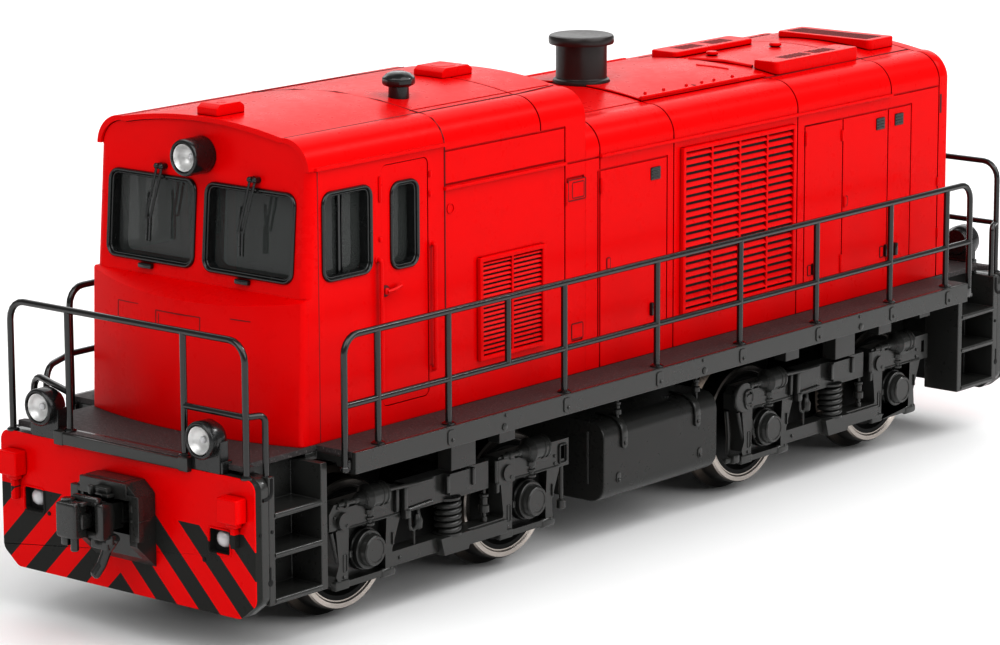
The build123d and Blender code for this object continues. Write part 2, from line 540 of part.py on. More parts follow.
with BuildPart() as cab_roof:
    hood(HIGH_CROWN, CAB_REAR, ROOF_FRONT)
    hood(HIGH_CROWN, CAB_REAR - 1, ROOF_FRONT - WALL, inset=WALL, mode=Mode.SUBTRACT)
    hood(HIGH_CROWN, SCREEN_X[1] - WALL, ROOF_FRONT + 1, inset=ROOF_RIM, mode=Mode.SUBTRACT)
    block((CAB_REAR - 2, CAB_FRONT + 2), (-BODY_HALF_WIDTH - 1, BODY_HALF_WIDTH + 1), (0, CAB_WALL_TOP),
          mode=Mode.SUBTRACT)
    for side in (-1, 1):
        block((CAB_REAR, ROOF_FRONT - 0.7), span(side, BODY_HALF_WIDTH - 0.2, BODY_HALF_WIDTH + GUTTER),
              (CAB_WALL_TOP, CAB_WALL_TOP + GUTTER))
save(cab_roof, "cab_roof")

with BuildPart() as cab_nose:
    loft(sections=[nose_plan(DECK_TOP, 0), nose_plan(SCREEN_SILL, 0.4)], ruled=True)
    # sloping top, from the foot of the windscreens down to the front
    slope = [(SCREEN_X[0], SCREEN_SILL), (SCREEN_X[0] + 6, SCREEN_SILL - 3), (SCREEN_X[0] + 6, SCREEN_SILL + 1),
             (SCREEN_X[0], SCREEN_SILL + 1)]
    plate_xz((-BODY_HALF_WIDTH - 1, BODY_HALF_WIDTH + 1), slope, mode=Mode.SUBTRACT)
save(cab_nose, "cab_nose")

with BuildPart() as cab_doors:
    for side in (-1, 1):
        wall = span(side, BODY_HALF_WIDTH - WALL, BODY_HALF_WIDTH - 0.05)
        opening(DOOR, 0.6, wall, grow=-DOOR_GAP, mode=Mode.ADD)
        opening(DOOR_WINDOW, WINDOW_CORNER, (wall[0] - 1, wall[1] + 1))
save(cab_doors, "cab_doors")

with BuildPart() as cab_glass:
    for x0, x1, z0, z1 in (CAB_WINDOW, DOOR_WINDOW):
        for side in (-1, 1):
            pane = span(side, BODY_HALF_WIDTH - WALL - GLASS_THICK, BODY_HALF_WIDTH - WALL)
            block((x0 - GLASS_LAP, x1 + GLASS_LAP), pane, (z0 - GLASS_LAP, z1 + GLASS_LAP))
    low, high = SCREEN_Z[0] - GLASS_LAP, SCREEN_Z[1] + GLASS_LAP
    for side in (-1, 1):
        width = span(side, SCREEN_Y[0] - GLASS_LAP, SCREEN_Y[1] + GLASS_LAP)
        plate_xz(width, raked_layer(low, high, WALL + GLASS_THICK, WALL))
save(cab_glass, "cab_glass")

with BuildPart() as window_frames:
    screens((NOSE_SEAT - 3, CAB_FRONT + 1), grow=WINDOW_RIM, mode=Mode.ADD)
    screens((NOSE_SEAT - 4, CAB_FRONT + 2))
    rim = outline_sketch(Plane.XZ.offset(-BODY_HALF_WIDTH),
                         raked_layer(SCREEN_SILL, CAB_WALL_TOP, 0, -RIM_PROUD))
    extrude(to_extrude=rim, amount=2 * BODY_HALF_WIDTH, mode=Mode.INTERSECT)
    for side in (-1, 1):
        proud = span(side, BODY_HALF_WIDTH, BODY_HALF_WIDTH + RIM_PROUD)
        opening(CAB_WINDOW, WINDOW_CORNER, proud, grow=WINDOW_RIM, mode=Mode.ADD)
        opening(CAB_WINDOW, WINDOW_CORNER, (proud[0] - 1, proud[1] + 1))
save(window_frames, "window_frames")

SEAT_Y = 5.2
SEAT_HALF_WIDTH = 1.6
with BuildPart() as cab_interior:
    inner = BODY_HALF_WIDTH - WALL
    block((CAB_REAR + 0.1, NOSE_SEAT - WALL), (-inner, inner), (DECK_TOP, FLOOR_TOP))
    block((CAB_REAR + 0.1, CAB_REAR + 0.9), (-inner, inner), (FLOOR_TOP, CAB_WALL_TOP - 0.3))
    # desk with a sloping instrument panel
    back = NOSE_SEAT - WALL
    desk = [(back, FLOOR_TOP), (back, DECK_TOP + 11.4), (back - 2.4, DECK_TOP + 9.6), (back - 4.0, DECK_TOP + 9.0),
            (back - 4.0, DECK_TOP + 8.2), (back - 2.6, DECK_TOP + 7.8), (back - 2.6, FLOOR_TOP)]
    plate_xz((2 - inner, inner - 2), desk)
    for side in (-1, 1):
        # seat: pedestal, cushion and leaning back
        x = CAB_REAR + 6.2
        seat = span(side, SEAT_Y - SEAT_HALF_WIDTH, SEAT_Y + SEAT_HALF_WIDTH)
        drum((x, side * SEAT_Y, FLOOR_TOP + 2), 0.5, 4.2)
        shape = [(x - 1.5, FLOOR_TOP + 4), (x + 1.6, FLOOR_TOP + 4.2), (x + 1.6, FLOOR_TOP + 5.2),
                 (x - 0.8, FLOOR_TOP + 5.0), (x - 1.6, FLOOR_TOP + 10), (x - 2.4, FLOOR_TOP + 10)]
        plate_xz(seat, shape)
save(cab_interior, "cab_interior")

# ---- hoods ----------------------------------------------------------------
SEAM = 0.16                 # width of the panel joints
SEAM_DEPTH = 0.14
HOOD_GUTTER_Z = DECK_TOP + 19.3
ROOF_SEAM_Y = BODY_HALF_WIDTH - 3.8
# panels in the hood sides: x low and x high from the hood joint, z low and z high above the deck
HIGH_PANELS = ((0.3, 2.6, 16.2, 18.0), (0.5, 1.9, 3.1, 4.6), (2.92, 19.3, 19.75, 22.7))
LOW_PANELS = ((-12.0, -1.8, 2.55, 18.15),)
# the same, with x from the rear end of the hood
REAR_PANELS = ((6.3, 10.3, 2.75, 18.15), (10.3, 18.0, 2.75, 18.15),
               (18.0, 24.3, 2.75, 18.15))
# joints across roof and sides: x from the hood joint, foot and top above the deck
HIGH_RINGS = ((2.92, 0, 19.75), (6.32, 22.7, 30))
LOW_RINGS = ((-2.08, 0, 30), (-12.99, 0, 30), (-32.4, 0, 30), (-48.05, 19.33, 30))
END_RING = 1.46             # from the rear end of the low hood
HIGH_GUTTER = (HIGH_REAR + 2.92, CAB_REAR)          # the rest of this line is a groove
LOW_GUTTER = (HIGH_REAR - 48.05, HIGH_REAR - 2.08)


def ring_seam(crown, x, foot=0, top=30):
    """Groove round the hood section at one place along X, between two heights above the deck."""
    skin = hood_section(crown, -0.5) - hood_section(crown, SEAM_DEPTH)
    skin = skin & strip(DECK_TOP + foot, DECK_TOP + top)
    extrude(to_extrude=skin.moved(Location((x - SEAM / 2, 0, 0))), amount=SEAM, dir=(1, 0, 0), mode=Mode.SUBTRACT)


def panel_seams(origin, table):
    """Grooves round the panels of a table, in both hood sides."""
    for side in (-1, 1):
        y = span(side, BODY_HALF_WIDTH - SEAM_DEPTH, BODY_HALF_WIDTH + 0.5)
        with BuildSketch(Plane.XZ.offset(-y[1])) as grooves:
            for grow, mode in ((SEAM / 2, Mode.ADD), (-SEAM / 2, Mode.SUBTRACT)):
                for x0, x1, z0, z1 in table:
                    with Locations((origin + (x0 + x1) / 2, DECK_TOP + (z0 + z1) / 2)):
                        Rectangle(x1 - x0 + 2 * grow, z1 - z0 + 2 * grow, mode=mode)
        extrude(to_extrude=grooves.sketch, amount=y[1] - y[0], mode=Mode.SUBTRACT)


def gutters(x, *grooves):
    """Rain strip along both hood sides, with a groove in its line where it stops short."""
    for side in (-1, 1):
        block(x, span(side, BODY_HALF_WIDTH - 0.3, BODY_HALF_WIDTH + GUTTER), (HOOD_GUTTER_Z, HOOD_GUTTER_Z + GUTTER))
        for groove in grooves:
            block(groove, span(side, BODY_HALF_WIDTH - SEAM_DEPTH, BODY_HALF_WIDTH + 0.5),
                  (HOOD_GUTTER_Z, HOOD_GUTTER_Z + SEAM), mode=Mode.SUBTRACT)


def roof_seams(crown, x):
    """Grooves along both shoulders of a roof."""
    for side in (-1, 1):
        y = side * ROOF_SEAM_Y
        foot = crown - SHOULDER_Z * (ROOF_SEAM_Y / (BODY_HALF_WIDTH - SHOULDER_IN)) ** 2 - SEAM_DEPTH
        block(x, (y - SEAM / 2, y + SEAM / 2), (foot, crown + 1), mode=Mode.SUBTRACT)


with BuildPart() as high_hood:
    hood(HIGH_CROWN, HIGH_REAR, CAB_REAR)
    hood(HIGH_CROWN, HIGH_REAR + WALL, CAB_REAR + 1, inset=WALL, mode=Mode.SUBTRACT)
    hood(LOW_CROWN, HIGH_REAR - 1, HIGH_REAR + 3, inset=WALL, mode=Mode.SUBTRACT)
    for x, foot, top in HIGH_RINGS:
        ring_seam(HIGH_CROWN, HIGH_REAR + x, foot, top)
    panel_seams(HIGH_REAR, HIGH_PANELS)
    roof_seams(HIGH_CROWN, (HIGH_REAR + 0.6, CAB_REAR + 1))
    gutters(HIGH_GUTTER, (HIGH_REAR - 1, HIGH_GUTTER[0]))
save(high_hood, "high_hood")

with BuildPart() as low_hood:
    hood(LOW_CROWN, HOOD_REAR, HIGH_REAR)
    hood(LOW_CROWN, HOOD_REAR + WALL, HIGH_REAR + 1, inset=WALL, mode=Mode.SUBTRACT)
    for x, foot, top in LOW_RINGS:
        ring_seam(LOW_CROWN, HIGH_REAR + x, foot, top)
    ring_seam(LOW_CROWN, HOOD_REAR + END_RING)
    panel_seams(HIGH_REAR, LOW_PANELS)
    panel_seams(HOOD_REAR, REAR_PANELS)
    roof_seams(LOW_CROWN, (HOOD_REAR + END_RING, HIGH_REAR + 1))
    gutters(LOW_GUTTER, (HOOD_REAR + END_RING, LOW_GUTTER[0]), (LOW_GUTTER[1], HIGH_REAR + 1))
save(low_hood, "low_hood")

# louvred grilles: x low and high from the hood joint, z low and high above the deck, columns, slats
GRILLES = ((-31.7, -13.95, 2.95, 18.65, 4, 21), (6.05, 15.1, 3.5, 12.75, 2, 20))
GRILLE_RIM = 0.45
GRILLE_PROUD = 0.4
SLAT_BACK = 0.06
SLAT_PROUD = 0.34

with BuildPart() as louvre_grilles:
    for x_from, x_to, z_from, z_to, columns, slats in GRILLES:
        x0, x1 = HIGH_REAR + x_from, HIGH_REAR + x_to
        z0, z1 = DECK_TOP + z_from, DECK_TOP + z_to
        pitch = (z1 - z0 - 2 * GRILLE_RIM) / slats
        step = (x1 - x0 - GRILLE_RIM) / columns
        for side in (-1, 1):
            # slats that lean outwards at their foot, as one toothed profile
            teeth = [(side * BODY_HALF_WIDTH, z1 - GRILLE_RIM), (side * BODY_HALF_WIDTH, z0 + GRILLE_RIM)]
            for slat in range(slats):
                z = z0 + GRILLE_RIM + slat * pitch
                teeth += [(side * (BODY_HALF_WIDTH + SLAT_PROUD), z), (side * (BODY_HALF_WIDTH + SLAT_BACK), z + pitch)]
            slat_face = outline_sketch(Plane.YZ.offset(x0 + GRILLE_RIM / 2), teeth)
            extrude(to_extrude=slat_face, amount=x1 - x0 - GRILLE_RIM)
            proud = span(side, BODY_HALF_WIDTH, BODY_HALF_WIDTH + GRILLE_PROUD)
            with BuildSketch(Plane.XZ.offset(-proud[1])) as frame:
                with Locations(((x0 + x1) / 2, (z0 + z1) / 2)):
                    Rectangle(x1 - x0, z1 - z0)
                for column in range(columns):
                    with Locations((x0 + GRILLE_RIM + (column + 0.5) * step - GRILLE_RIM / 2, (z0 + z1) / 2)):
                        Rectangle(step - GRILLE_RIM, z1 - z0 - 2 * GRILLE_RIM, mode=Mode.SUBTRACT)
            extrude(to_extrude=frame.sketch, amount=GRILLE_PROUD)
save(louvre_grilles, "louvre_grilles")

with BuildPart() as ballast_block:
    hood(LOW_CROWN, HOOD_REAR + WALL + BALLAST_GAP, CAB_REAR - BALLAST_GAP, inset=WALL + BALLAST_GAP)
    hood(HIGH_CROWN, HIGH_REAR + WALL + BALLAST_GAP, CAB_REAR - BALLAST_GAP, inset=WALL + BALLAST_GAP)
save(ballast_block, "ballast_block")

# ---- roof -----------------------------------------------------------------
STACK_X = HIGH_REAR - 14.8
STACK_BASE_R = 2.64
# turned outline of the closed stack: height above the crown, radius
STACK = ((-1.0, 0), (-1.0, STACK_BASE_R), (0.45, STACK_BASE_R), (0.45, 2.4), (3.65, 2.4), (3.75, 3.07),
         (4.4, 3.07), (4.55, 2.9), (4.55, 0))
HATCH = (HIGH_REAR - 32.1, HIGH_REAR - 13.0, 8.6)       # panel on the low roof: x low, x high, half width
HATCH_THICK = 0.18
HATCH_LIP = 0.35
# boxes on the high roof: x low and x high, y low and y high, height above the crown
ROOF_BOXES = ((ROOF_FRONT - 4.1, ROOF_FRONT - 0.7, -1.0, 1.3, 0.95), (HIGH_REAR + 3.4, HIGH_REAR + 7.5, -1.4, 2.0, 0.85))

with BuildPart() as exhaust_stack:
    turned((STACK_X, 0, LOW_CROWN), STACK, "z")
    hood(LOW_CROWN, HOOD_REAR, HIGH_REAR, mode=Mode.SUBTRACT)
save(exhaust_stack, "exhaust_stack")

with BuildPart() as roof_hatches:
    x0, x1, half = HATCH
    hood(LOW_CROWN + HATCH_THICK, x0, x1)
    for side in (-1, 1):
        edge = LOW_CROWN - SHOULDER_Z * (half / (BODY_HALF_WIDTH - SHOULDER_IN)) ** 2 + HATCH_LIP
        block((x0, x1), span(side, half - 0.35, half), (edge - 1, edge))
    block((x0, x1), (-half, half), (LOW_CROWN - 2, LOW_CROWN + 2), mode=Mode.INTERSECT)
    drum((STACK_X, 0, LOW_CROWN), STACK_BASE_R + 0.05, 4, mode=Mode.SUBTRACT)
    hood(LOW_CROWN, HOOD_REAR, HIGH_REAR, mode=Mode.SUBTRACT)
    # box over the windscreens and plinth, both with chamfered ends
    for x0, x1, y0, y1, high in ROOF_BOXES:
        box = [(x0, HIGH_CROWN - 0.6), (x0, HIGH_CROWN + high - 0.35), (x0 + 0.5, HIGH_CROWN + high),
               (x1 - 0.5, HIGH_CROWN + high), (x1, HIGH_CROWN + high - 0.35), (x1, HIGH_CROWN - 0.6)]
        plate_xz((y0, y1), box)
    hood(HIGH_CROWN, HIGH_REAR, ROOF_FRONT, mode=Mode.SUBTRACT)
save(roof_hatches, "roof_hatches")

# raised louvre boxes: x low and x high from the rear end of the hood, y low, y high
ROOF_LOUVRES = ((10.4, 24.1, 5.9, 8.8), (12.1, 24.9, -6.0, -2.8), (1.9, 6.3, -4.2, 7.2))
LOUVRE_HEIGHT = 0.5
with BuildPart() as roof_louvres:
    for low_x, high_x, y0, y1 in ROOF_LOUVRES:
        x0, x1 = HOOD_REAR + low_x, HOOD_REAR + high_x
        with BuildSketch(Plane.XY.offset(LOW_CROWN - 1.4)) as foot:
            with Locations(((x0 + x1) / 2, (y0 + y1) / 2)):
                RectangleRounded(x1 - x0, y1 - y0, 0.5)
        extrude(to_extrude=foot.sketch, amount=1.4 + LOUVRE_HEIGHT)
    hood(LOW_CROWN, HOOD_REAR, HIGH_REAR, mode=Mode.SUBTRACT)
save(roof_louvres, "roof_louvres")

# mushroom vent: height above the crown, radius
VENT = ((-0.6, 0), (-0.6, 0.85), (1.0, 0.85), (1.0, 1.5), (1.5, 1.35), (1.9, 0.8), (2.0, 0))
with BuildPart() as roof_vent:
    turned((CAB_REAR - 2.65, 5.0, HIGH_CROWN), VENT, "z")
    hood(HIGH_CROWN, HIGH_REAR, CAB_REAR, mode=Mode.SUBTRACT)
save(roof_vent, "roof_vent")

# ---- lamps and wipers -----------------------------------------------------
LAMP_R = 1.6
# lamp housing: distance in front of the wall, radius; a dished reflector inside the rim
LAMP = ((-1.5, 0), (-1.5, LAMP_R), (2.2, LAMP_R), (2.2, LAMP_R - 0.35), (1.0, 0.5), (1.0, 0))
MARKER_Y = BODY_HALF_WIDTH - 2.9
MARKER_Z = DECK_TOP + 1.95
MARKER_R = 1.63
MARKER = ((-1.2, 0), (-1.2, 1.3), (-0.6, MARKER_R), (0.75, MARKER_R), (0.75, 1.15), (0.45, 1.1), (0.45, 0))

with BuildPart() as headlights:
    turned((ROOF_FRONT, 0, DECK_TOP + 23.35), LAMP, "x")
    turned((HOOD_REAR, 0, DECK_TOP + 20.6), [(-along, radius) for along, radius in LAMP], "x")
    inside = [(CAB_REAR, SCREEN_SILL), (raked_x(SCREEN_SILL), SCREEN_SILL), (raked_x(CAB_WALL_TOP), CAB_WALL_TOP),
              (SCREEN_X[1], HIGH_CROWN), (CAB_REAR, HIGH_CROWN)]
    plate_xz((-5, 5), inside, mode=Mode.SUBTRACT)
    hood(LOW_CROWN, HOOD_REAR, HIGH_REAR, mode=Mode.SUBTRACT)
save(headlights, "headlights")

with BuildPart() as marker_lamps:
    for end in (-1, 1):
        for side in (-1, 1):
            y = side * MARKER_Y
            turned((end * PLATE_X, y, MARKER_Z), [(end * along, radius) for along, radius in MARKER], "x")
            # bracket on top of the end plate
            foot = outline_sketch(Plane.YZ.offset(min(end * PLATE_X, end * PLATE_BACK)),
                                  [(y - MARKER_R, PLATE_TOP), (y + MARKER_R, PLATE_TOP), (y + MARKER_R, MARKER_Z),
                                   (y - MARKER_R, MARKER_Z)])
            extrude(to_extrude=foot, amount=PLATE_THICK)
save(marker_lamps, "marker_lamps")

# wipers: pivot y, arm foot y, blade centre y
WIPERS = ((-4.6, -5.5, -5.6), (6.3, 5.4, 5.3))
WIPER_TOP = DECK_TOP + 21.9
with BuildPart() as wipers:
    for pivot_y, foot_y, blade_y in WIPERS:
        for shift in (-0.12, 0.12):
            top = (raked_x(WIPER_TOP) + 0.42, pivot_y + shift, WIPER_TOP)
            wire([top, (raked_x(WIPER_TOP - 4.4) + 0.42, foot_y + shift, WIPER_TOP - 4.4)], 0.1)
        middle = WIPER_TOP - 4.4
        wire([(raked_x(middle + 2) + 0.42, blade_y - 0.3, middle + 2),
              (raked_x(middle - 2) + 0.42, blade_y + 0.3, middle - 2)], 0.14)
        drum((raked_x(WIPER_TOP) + 0.35, pivot_y, WIPER_TOP), 0.3, 0.7, axis="x")
save(wipers, "wipers")

# ---- railings -------------------------------------------------------------
FRONT_POST = SILL_X + 0.46
REAR_POST = -SILL_X - 1.25
FRONT_POSTS = (4.18, 13.25, 28.95, 42.29)       # from the front post
REAR_POSTS = (4.17, 13.92, 26.25, 38.41)        # from the rear post
SHORT_POST = FRONT_POST - 21.19                 # from the middle rail up
END_RAIL_X = PLATE_X - PLATE_THICK / 2
END_POST_Y = PLATE_HALF_WIDTH - 1.2
INNER_POST_Y = 6.8
HOOK_X = STEP_OUT - CHEEK / 2
HOOK_Y = PLATE_HALF_WIDTH - 0.6
HOOKS = ((1, 1), (-1, 1), (-1, -1))     # end and side of the middle rails that hook down to the steps

for side_name, side in SIDES:
    y = side * RAIL_Y
    foot = SILL_BOTTOM + 0.7
    with BuildPart() as railing:
        wire([(FRONT_POST, y, foot), (FRONT_POST, y, RAIL_TOP), (REAR_POST, y, RAIL_TOP), (REAR_POST, y, foot)],
             RAIL_R, bend=1.6)
        wire([(FRONT_POST, y, RAIL_MID), (REAR_POST, y, RAIL_MID)], RAIL_R)
        for x in [FRONT_POST - step for step in FRONT_POSTS] + [REAR_POST + step for step in REAR_POSTS]:
            wire([(x, y, DECK_TOP), (x, y, RAIL_TOP)], RAIL_R)
        wire([(SHORT_POST, y, RAIL_MID), (SHORT_POST, y, RAIL_TOP)], RAIL_R)
        # feet of the end posts, on the ends of the sill
        for end, x in ((1, FRONT_POST), (-1, REAR_POST)):
            block(sorted((x, end * SILL_X)), span(side, RAIL_Y - 0.4, RAIL_Y + 0.4), (foot - 0.4, foot + 0.6))
    save(railing, f"railing_{side_name}")

for end_name, end in ENDS:
    x = end * END_RAIL_X
    top, middle = DECK_TOP + END_RAIL_HEIGHT, DECK_TOP + END_RAIL_MID_HEIGHT
    with BuildPart() as end_railing:
        wire([(x, -END_POST_Y, PLATE_TOP), (x, -END_POST_Y, top), (x, END_POST_Y, top), (x, END_POST_Y, PLATE_TOP)],
             RAIL_R, bend=1.7)
        for side in (-1, 1):
            wire([(x, side * INNER_POST_Y, DECK_TOP + 0.1), (x, side * INNER_POST_Y, top)], RAIL_R)
            if (end, side) in HOOKS:
                wire([(x, side * INNER_POST_Y, middle), (x, side * END_POST_Y, middle)], RAIL_R)
                wire([(x, side * END_POST_Y, middle), (end * HOOK_X, side * HOOK_Y, middle),
                      (end * HOOK_X, side * HOOK_Y, PLATE_TOP)], RAIL_R, bend=0.9)
    save(end_railing, f"railing_{end_name}")

GRAB_OUT = 0.8
# grab rails beside the cab doors: x from the rear of the cab, z low and high above the deck
GRAB_RAILS = ((8.64, 2.55, 14.75), (1.54, 3.75, 14.45))
with BuildPart() as grab_rails:
    for side in (-1, 1):
        for from_rear, low, high in GRAB_RAILS:
            x = CAB_REAR + from_rear
            inner, outer = side * BODY_HALF_WIDTH, side * (BODY_HALF_WIDTH + GRAB_OUT)
            z0, z1 = DECK_TOP + low, DECK_TOP + high
            wire([(x, inner, z0), (x, outer, z0), (x, outer, z1), (x, inner, z1)], GRAB_R, bend=0.4)
save(grab_rails, "grab_rails")

# ---- bogies ---------------------------------------------------------------
CORE_HALF_WIDTH = WHEEL_IN - 0.9
SPRING_LOW = AXLE_Z - 0.85
SPRING_HIGH = AXLE_Z + 2.25
SPRING_TURNS = 5
SPRING_Y = FRAME_IN + 1.0
PLANK_BOTTOM = AXLE_Z - 2.15
FRAME_PROUD = 0.6           # pocket and centre box in front of the frame
CYLINDER_X = -1.1           # brake cylinder from the axle, along X
CYLINDER_Z = AXLE_Z + 4.55
CYLINDER_LENGTH = 1.7
ROD_R = 0.35
ROD_REACH = 2.9             # end of the piston rod ahead of the axle

# yoke over each axle, as (x, z) from the axle centre: bridge, two legs and tie bar
YOKE = (
    ((-4.2, 2.3), (5.0, 2.5), (5.0, 4.0), (4.4, 4.75), (-4.2, 4.75)),
    ((-4.2, 2.5), (-3.0, -0.6), (-3.2, -2.9), (-2.1, -2.9), (-2.1, -0.6), (-2.3, 2.5)),
    ((2.5, 2.6), (2.7, -2.8), (3.6, -2.8), (4.2, -1.6), (3.8, -0.6), (4.2, 2.6)),
    ((-3.2, -2.75), (3.6, -2.75), (3.6, -2.2), (-3.2, -2.2)),
)
# covers of the axle boxes: distance in front of the pedestal, radius
AXLE_BOX = ((0, 0), (0, AXLE_BOX_R), (1.0, AXLE_BOX_R), (1.0, AXLE_BOX_R - 0.3), (1.4, AXLE_BOX_R - 0.3),
            (1.4, AXLE_BOX_R - 0.65), (1.75, AXLE_BOX_R - 0.65), (1.75, 0))


def spring_outline():
    """Turned outline of a coil spring: height, radius, one ridge for each turn."""
    pitch = (SPRING_HIGH - SPRING_LOW) / SPRING_TURNS
    points = [(0, 0)]
    for turn in range(SPRING_TURNS):
        points += [(turn * pitch, SPRING_R - 0.35), ((turn + 0.5) * pitch, SPRING_R)]
    return points + [(SPRING_TURNS * pitch, SPRING_R - 0.35), (SPRING_TURNS * pitch, 0)]


def piston_rod(x, y, mode=Mode.ADD):
    """Rod that leaves the brake cylinder forwards."""
    wire([(x + CYLINDER_X, y, CYLINDER_Z), (x + ROD_REACH, y, CYLINDER_Z)], ROD_R, mode=mode)


for end_name, end in ENDS:
    pivot_x = end * BOGIE_X
    axles = (pivot_x - WHEELBASE / 2, pivot_x + WHEELBASE / 2)

    with BuildPart() as bogie_core:
        # gear case, lower and narrower towards its ends, with a bottom cover
        reach = WHEELBASE / 2 + 3.15
        case = [(-reach, AXLE_Z - 1.6), (1.4 - reach, AXLE_Z - 3.0), (reach - 1.4, AXLE_Z - 3.0),
                (reach, AXLE_Z - 1.6), (reach, AXLE_Z + 2.4), (reach - 5.5, CORE_TOP), (5.5 - reach, CORE_TOP),
                (-reach, AXLE_Z + 2.4)]
        plate_xz((-CORE_HALF_WIDTH, CORE_HALF_WIDTH), [(pivot_x + x, z) for x, z in case])
        block((pivot_x + 2.2 - reach, pivot_x + reach - 2.2), (1 - CORE_HALF_WIDTH, CORE_HALF_WIDTH - 1),
              (AXLE_Z - 3.5, AXLE_Z - 2.9))
        for side in (-1, 1):
            arm = [(pivot_x - 2.6, SPRING_HIGH), (pivot_x + 2.6, SPRING_HIGH), (pivot_x + 2.0, FRAME_TOP),
                   (pivot_x - 2.0, FRAME_TOP)]
            plate_xz(span(side, CORE_HALF_WIDTH - 0.5, FRAME_IN), arm)
        drum((pivot_x, 0, CORE_TOP), PIVOT_R + RUNNING_GAP, 6.0, mode=Mode.SUBTRACT)
        for x in axles:
            drum((x, 0, AXLE_Z), AXLE_R + RUNNING_GAP, 3 * CORE_HALF_WIDTH, axis="y", mode=Mode.SUBTRACT)
    save(bogie_core, f"bogie_core_{end_name}")

    for side_name, side in SIDES:
        depth = span(side, FRAME_IN, FRAME_OUT)
        proud = span(side, FRAME_OUT - 0.4, FRAME_OUT + FRAME_PROUD)
        beam = [(pivot_x - 5.0, SPRING_HIGH), (pivot_x + 5.8, SPRING_HIGH), (pivot_x + 5.8, FRAME_TOP),
                (pivot_x - 5.0, FRAME_TOP)]
        inner = WHEELBASE / 2 - 2.6         # inner legs of the yokes, at the spring plank
        plank = [(pivot_x - inner, PLANK_BOTTOM), (pivot_x + inner, PLANK_BOTTOM), (pivot_x + inner, SPRING_LOW),
                 (pivot_x - inner, SPRING_LOW)]
        with BuildPart() as side_frame:
            outlines = [[(x + dx, AXLE_Z + dz) for dx, dz in piece] for x in axles for piece in YOKE]
            plate_xz(depth, beam, plank, *outlines)
            # back web that ties both yokes to the beam
            block((axles[0], axles[1]), span(side, FRAME_IN, FRAME_IN + 0.6), (AXLE_Z + 2.9, FRAME_TOP - 0.2))
            # bracket behind the rear yoke, with its slot
            tail = axles[0] - FRAME_END
            block((tail - 0.4, axles[0] - 4.0), depth, (SPRING_HIGH, FRAME_TOP))
            block((tail + 0.2, tail + 0.7), (depth[0] - 1, depth[1] + 1), (SPRING_HIGH + 0.7, FRAME_TOP - 0.6),
                  mode=Mode.SUBTRACT)
            # spring pocket on the plank, and box on the beam
            pocket = [(pivot_x - 2.1, SPRING_LOW), (pivot_x - 1.6, PLANK_BOTTOM - 0.3),
                      (pivot_x + 1.6, PLANK_BOTTOM - 0.3), (pivot_x + 2.1, SPRING_LOW)]
            plate_xz(proud, pocket)
            block((pivot_x - 2.4, pivot_x + 0.9), proud, (SPRING_HIGH + 0.6, FRAME_TOP))
            for x in axles:
                # pedestal behind the axle box, boss on the front gusset
                block((x - 2.6, x + 2.9), span(side, FRAME_IN, FRAME_IN + PEDESTAL_THICK), (AXLE_Z - 2.3, AXLE_Z + 2.6))
                drum((x + 3.4, side * (FRAME_OUT + 0.1), AXLE_Z + 3.2), 0.75, 0.6, axis="y")
                drum((x, side * FRAME_IN, AXLE_Z), JOURNAL_R + RUNNING_GAP, 3.0, axis="y", mode=Mode.SUBTRACT)
                # cradles of the brake cylinder and its rod
                drum((x + CYLINDER_X, side * (FRAME_OUT + 0.1), CYLINDER_Z), CYLINDER_R, CYLINDER_LENGTH, axis="x",
                     mode=Mode.SUBTRACT)
                piston_rod(x, side * (FRAME_OUT + 0.1), mode=Mode.SUBTRACT)
        save(side_frame, f"side_frame_{end_name}_{side_name}")

    with BuildPart() as axle_boxes:
        for x in axles:
            for side in (-1, 1):
                face = side * (FRAME_IN + PEDESTAL_THICK)
                turned((x, face, AXLE_Z), [(side * along, radius) for along, radius in AXLE_BOX], "y")
    save(axle_boxes, f"axle_boxes_{end_name}")

    with BuildPart() as brake_cylinders:
        for x in axles:
            for side in (-1, 1):
                y = side * (FRAME_OUT + 0.1)
                drum((x + CYLINDER_X, y, CYLINDER_Z), CYLINDER_R, CYLINDER_LENGTH, axis="x")
                piston_rod(x, y)
    save(brake_cylinders, f"brake_cylinders_{end_name}")

    with BuildPart() as bogie_springs:
        for side in (-1, 1):
            turned((pivot_x, side * SPRING_Y, SPRING_LOW), spring_outline(), "z")
    save(bogie_springs, f"bogie_springs_{end_name}")

# ---- wheelsets ------------------------------------------------------------
# tyre: distance from the wheel back, radius
TYRE = ((0, RIM_R), (0, FLANGE_R - 0.1), (FLANGE_THICK - 0.25, FLANGE_R), (FLANGE_THICK + 0.3, TREAD_R),
        (WHEEL_WIDTH, TREAD_R - 0.1), (WHEEL_WIDTH, RIM_R))
WEB_RECESS = 0.6
CENTRE_FACE = WHEEL_OUT - 0.15
# half of an axle with its wheel centre: distance from the middle, radius
HALF_AXLE = ((0, AXLE_R), (WHEEL_IN, AXLE_R), (WHEEL_IN, RIM_R), (CENTRE_FACE, RIM_R), (CENTRE_FACE, RIM_R - 0.6),
             (CENTRE_FACE - WEB_RECESS, RIM_R - 0.8), (CENTRE_FACE - WEB_RECESS, HUB_R), (CENTRE_FACE, JOURNAL_R),
             (JOURNAL_END, JOURNAL_R), (JOURNAL_END, 0), (0, 0))

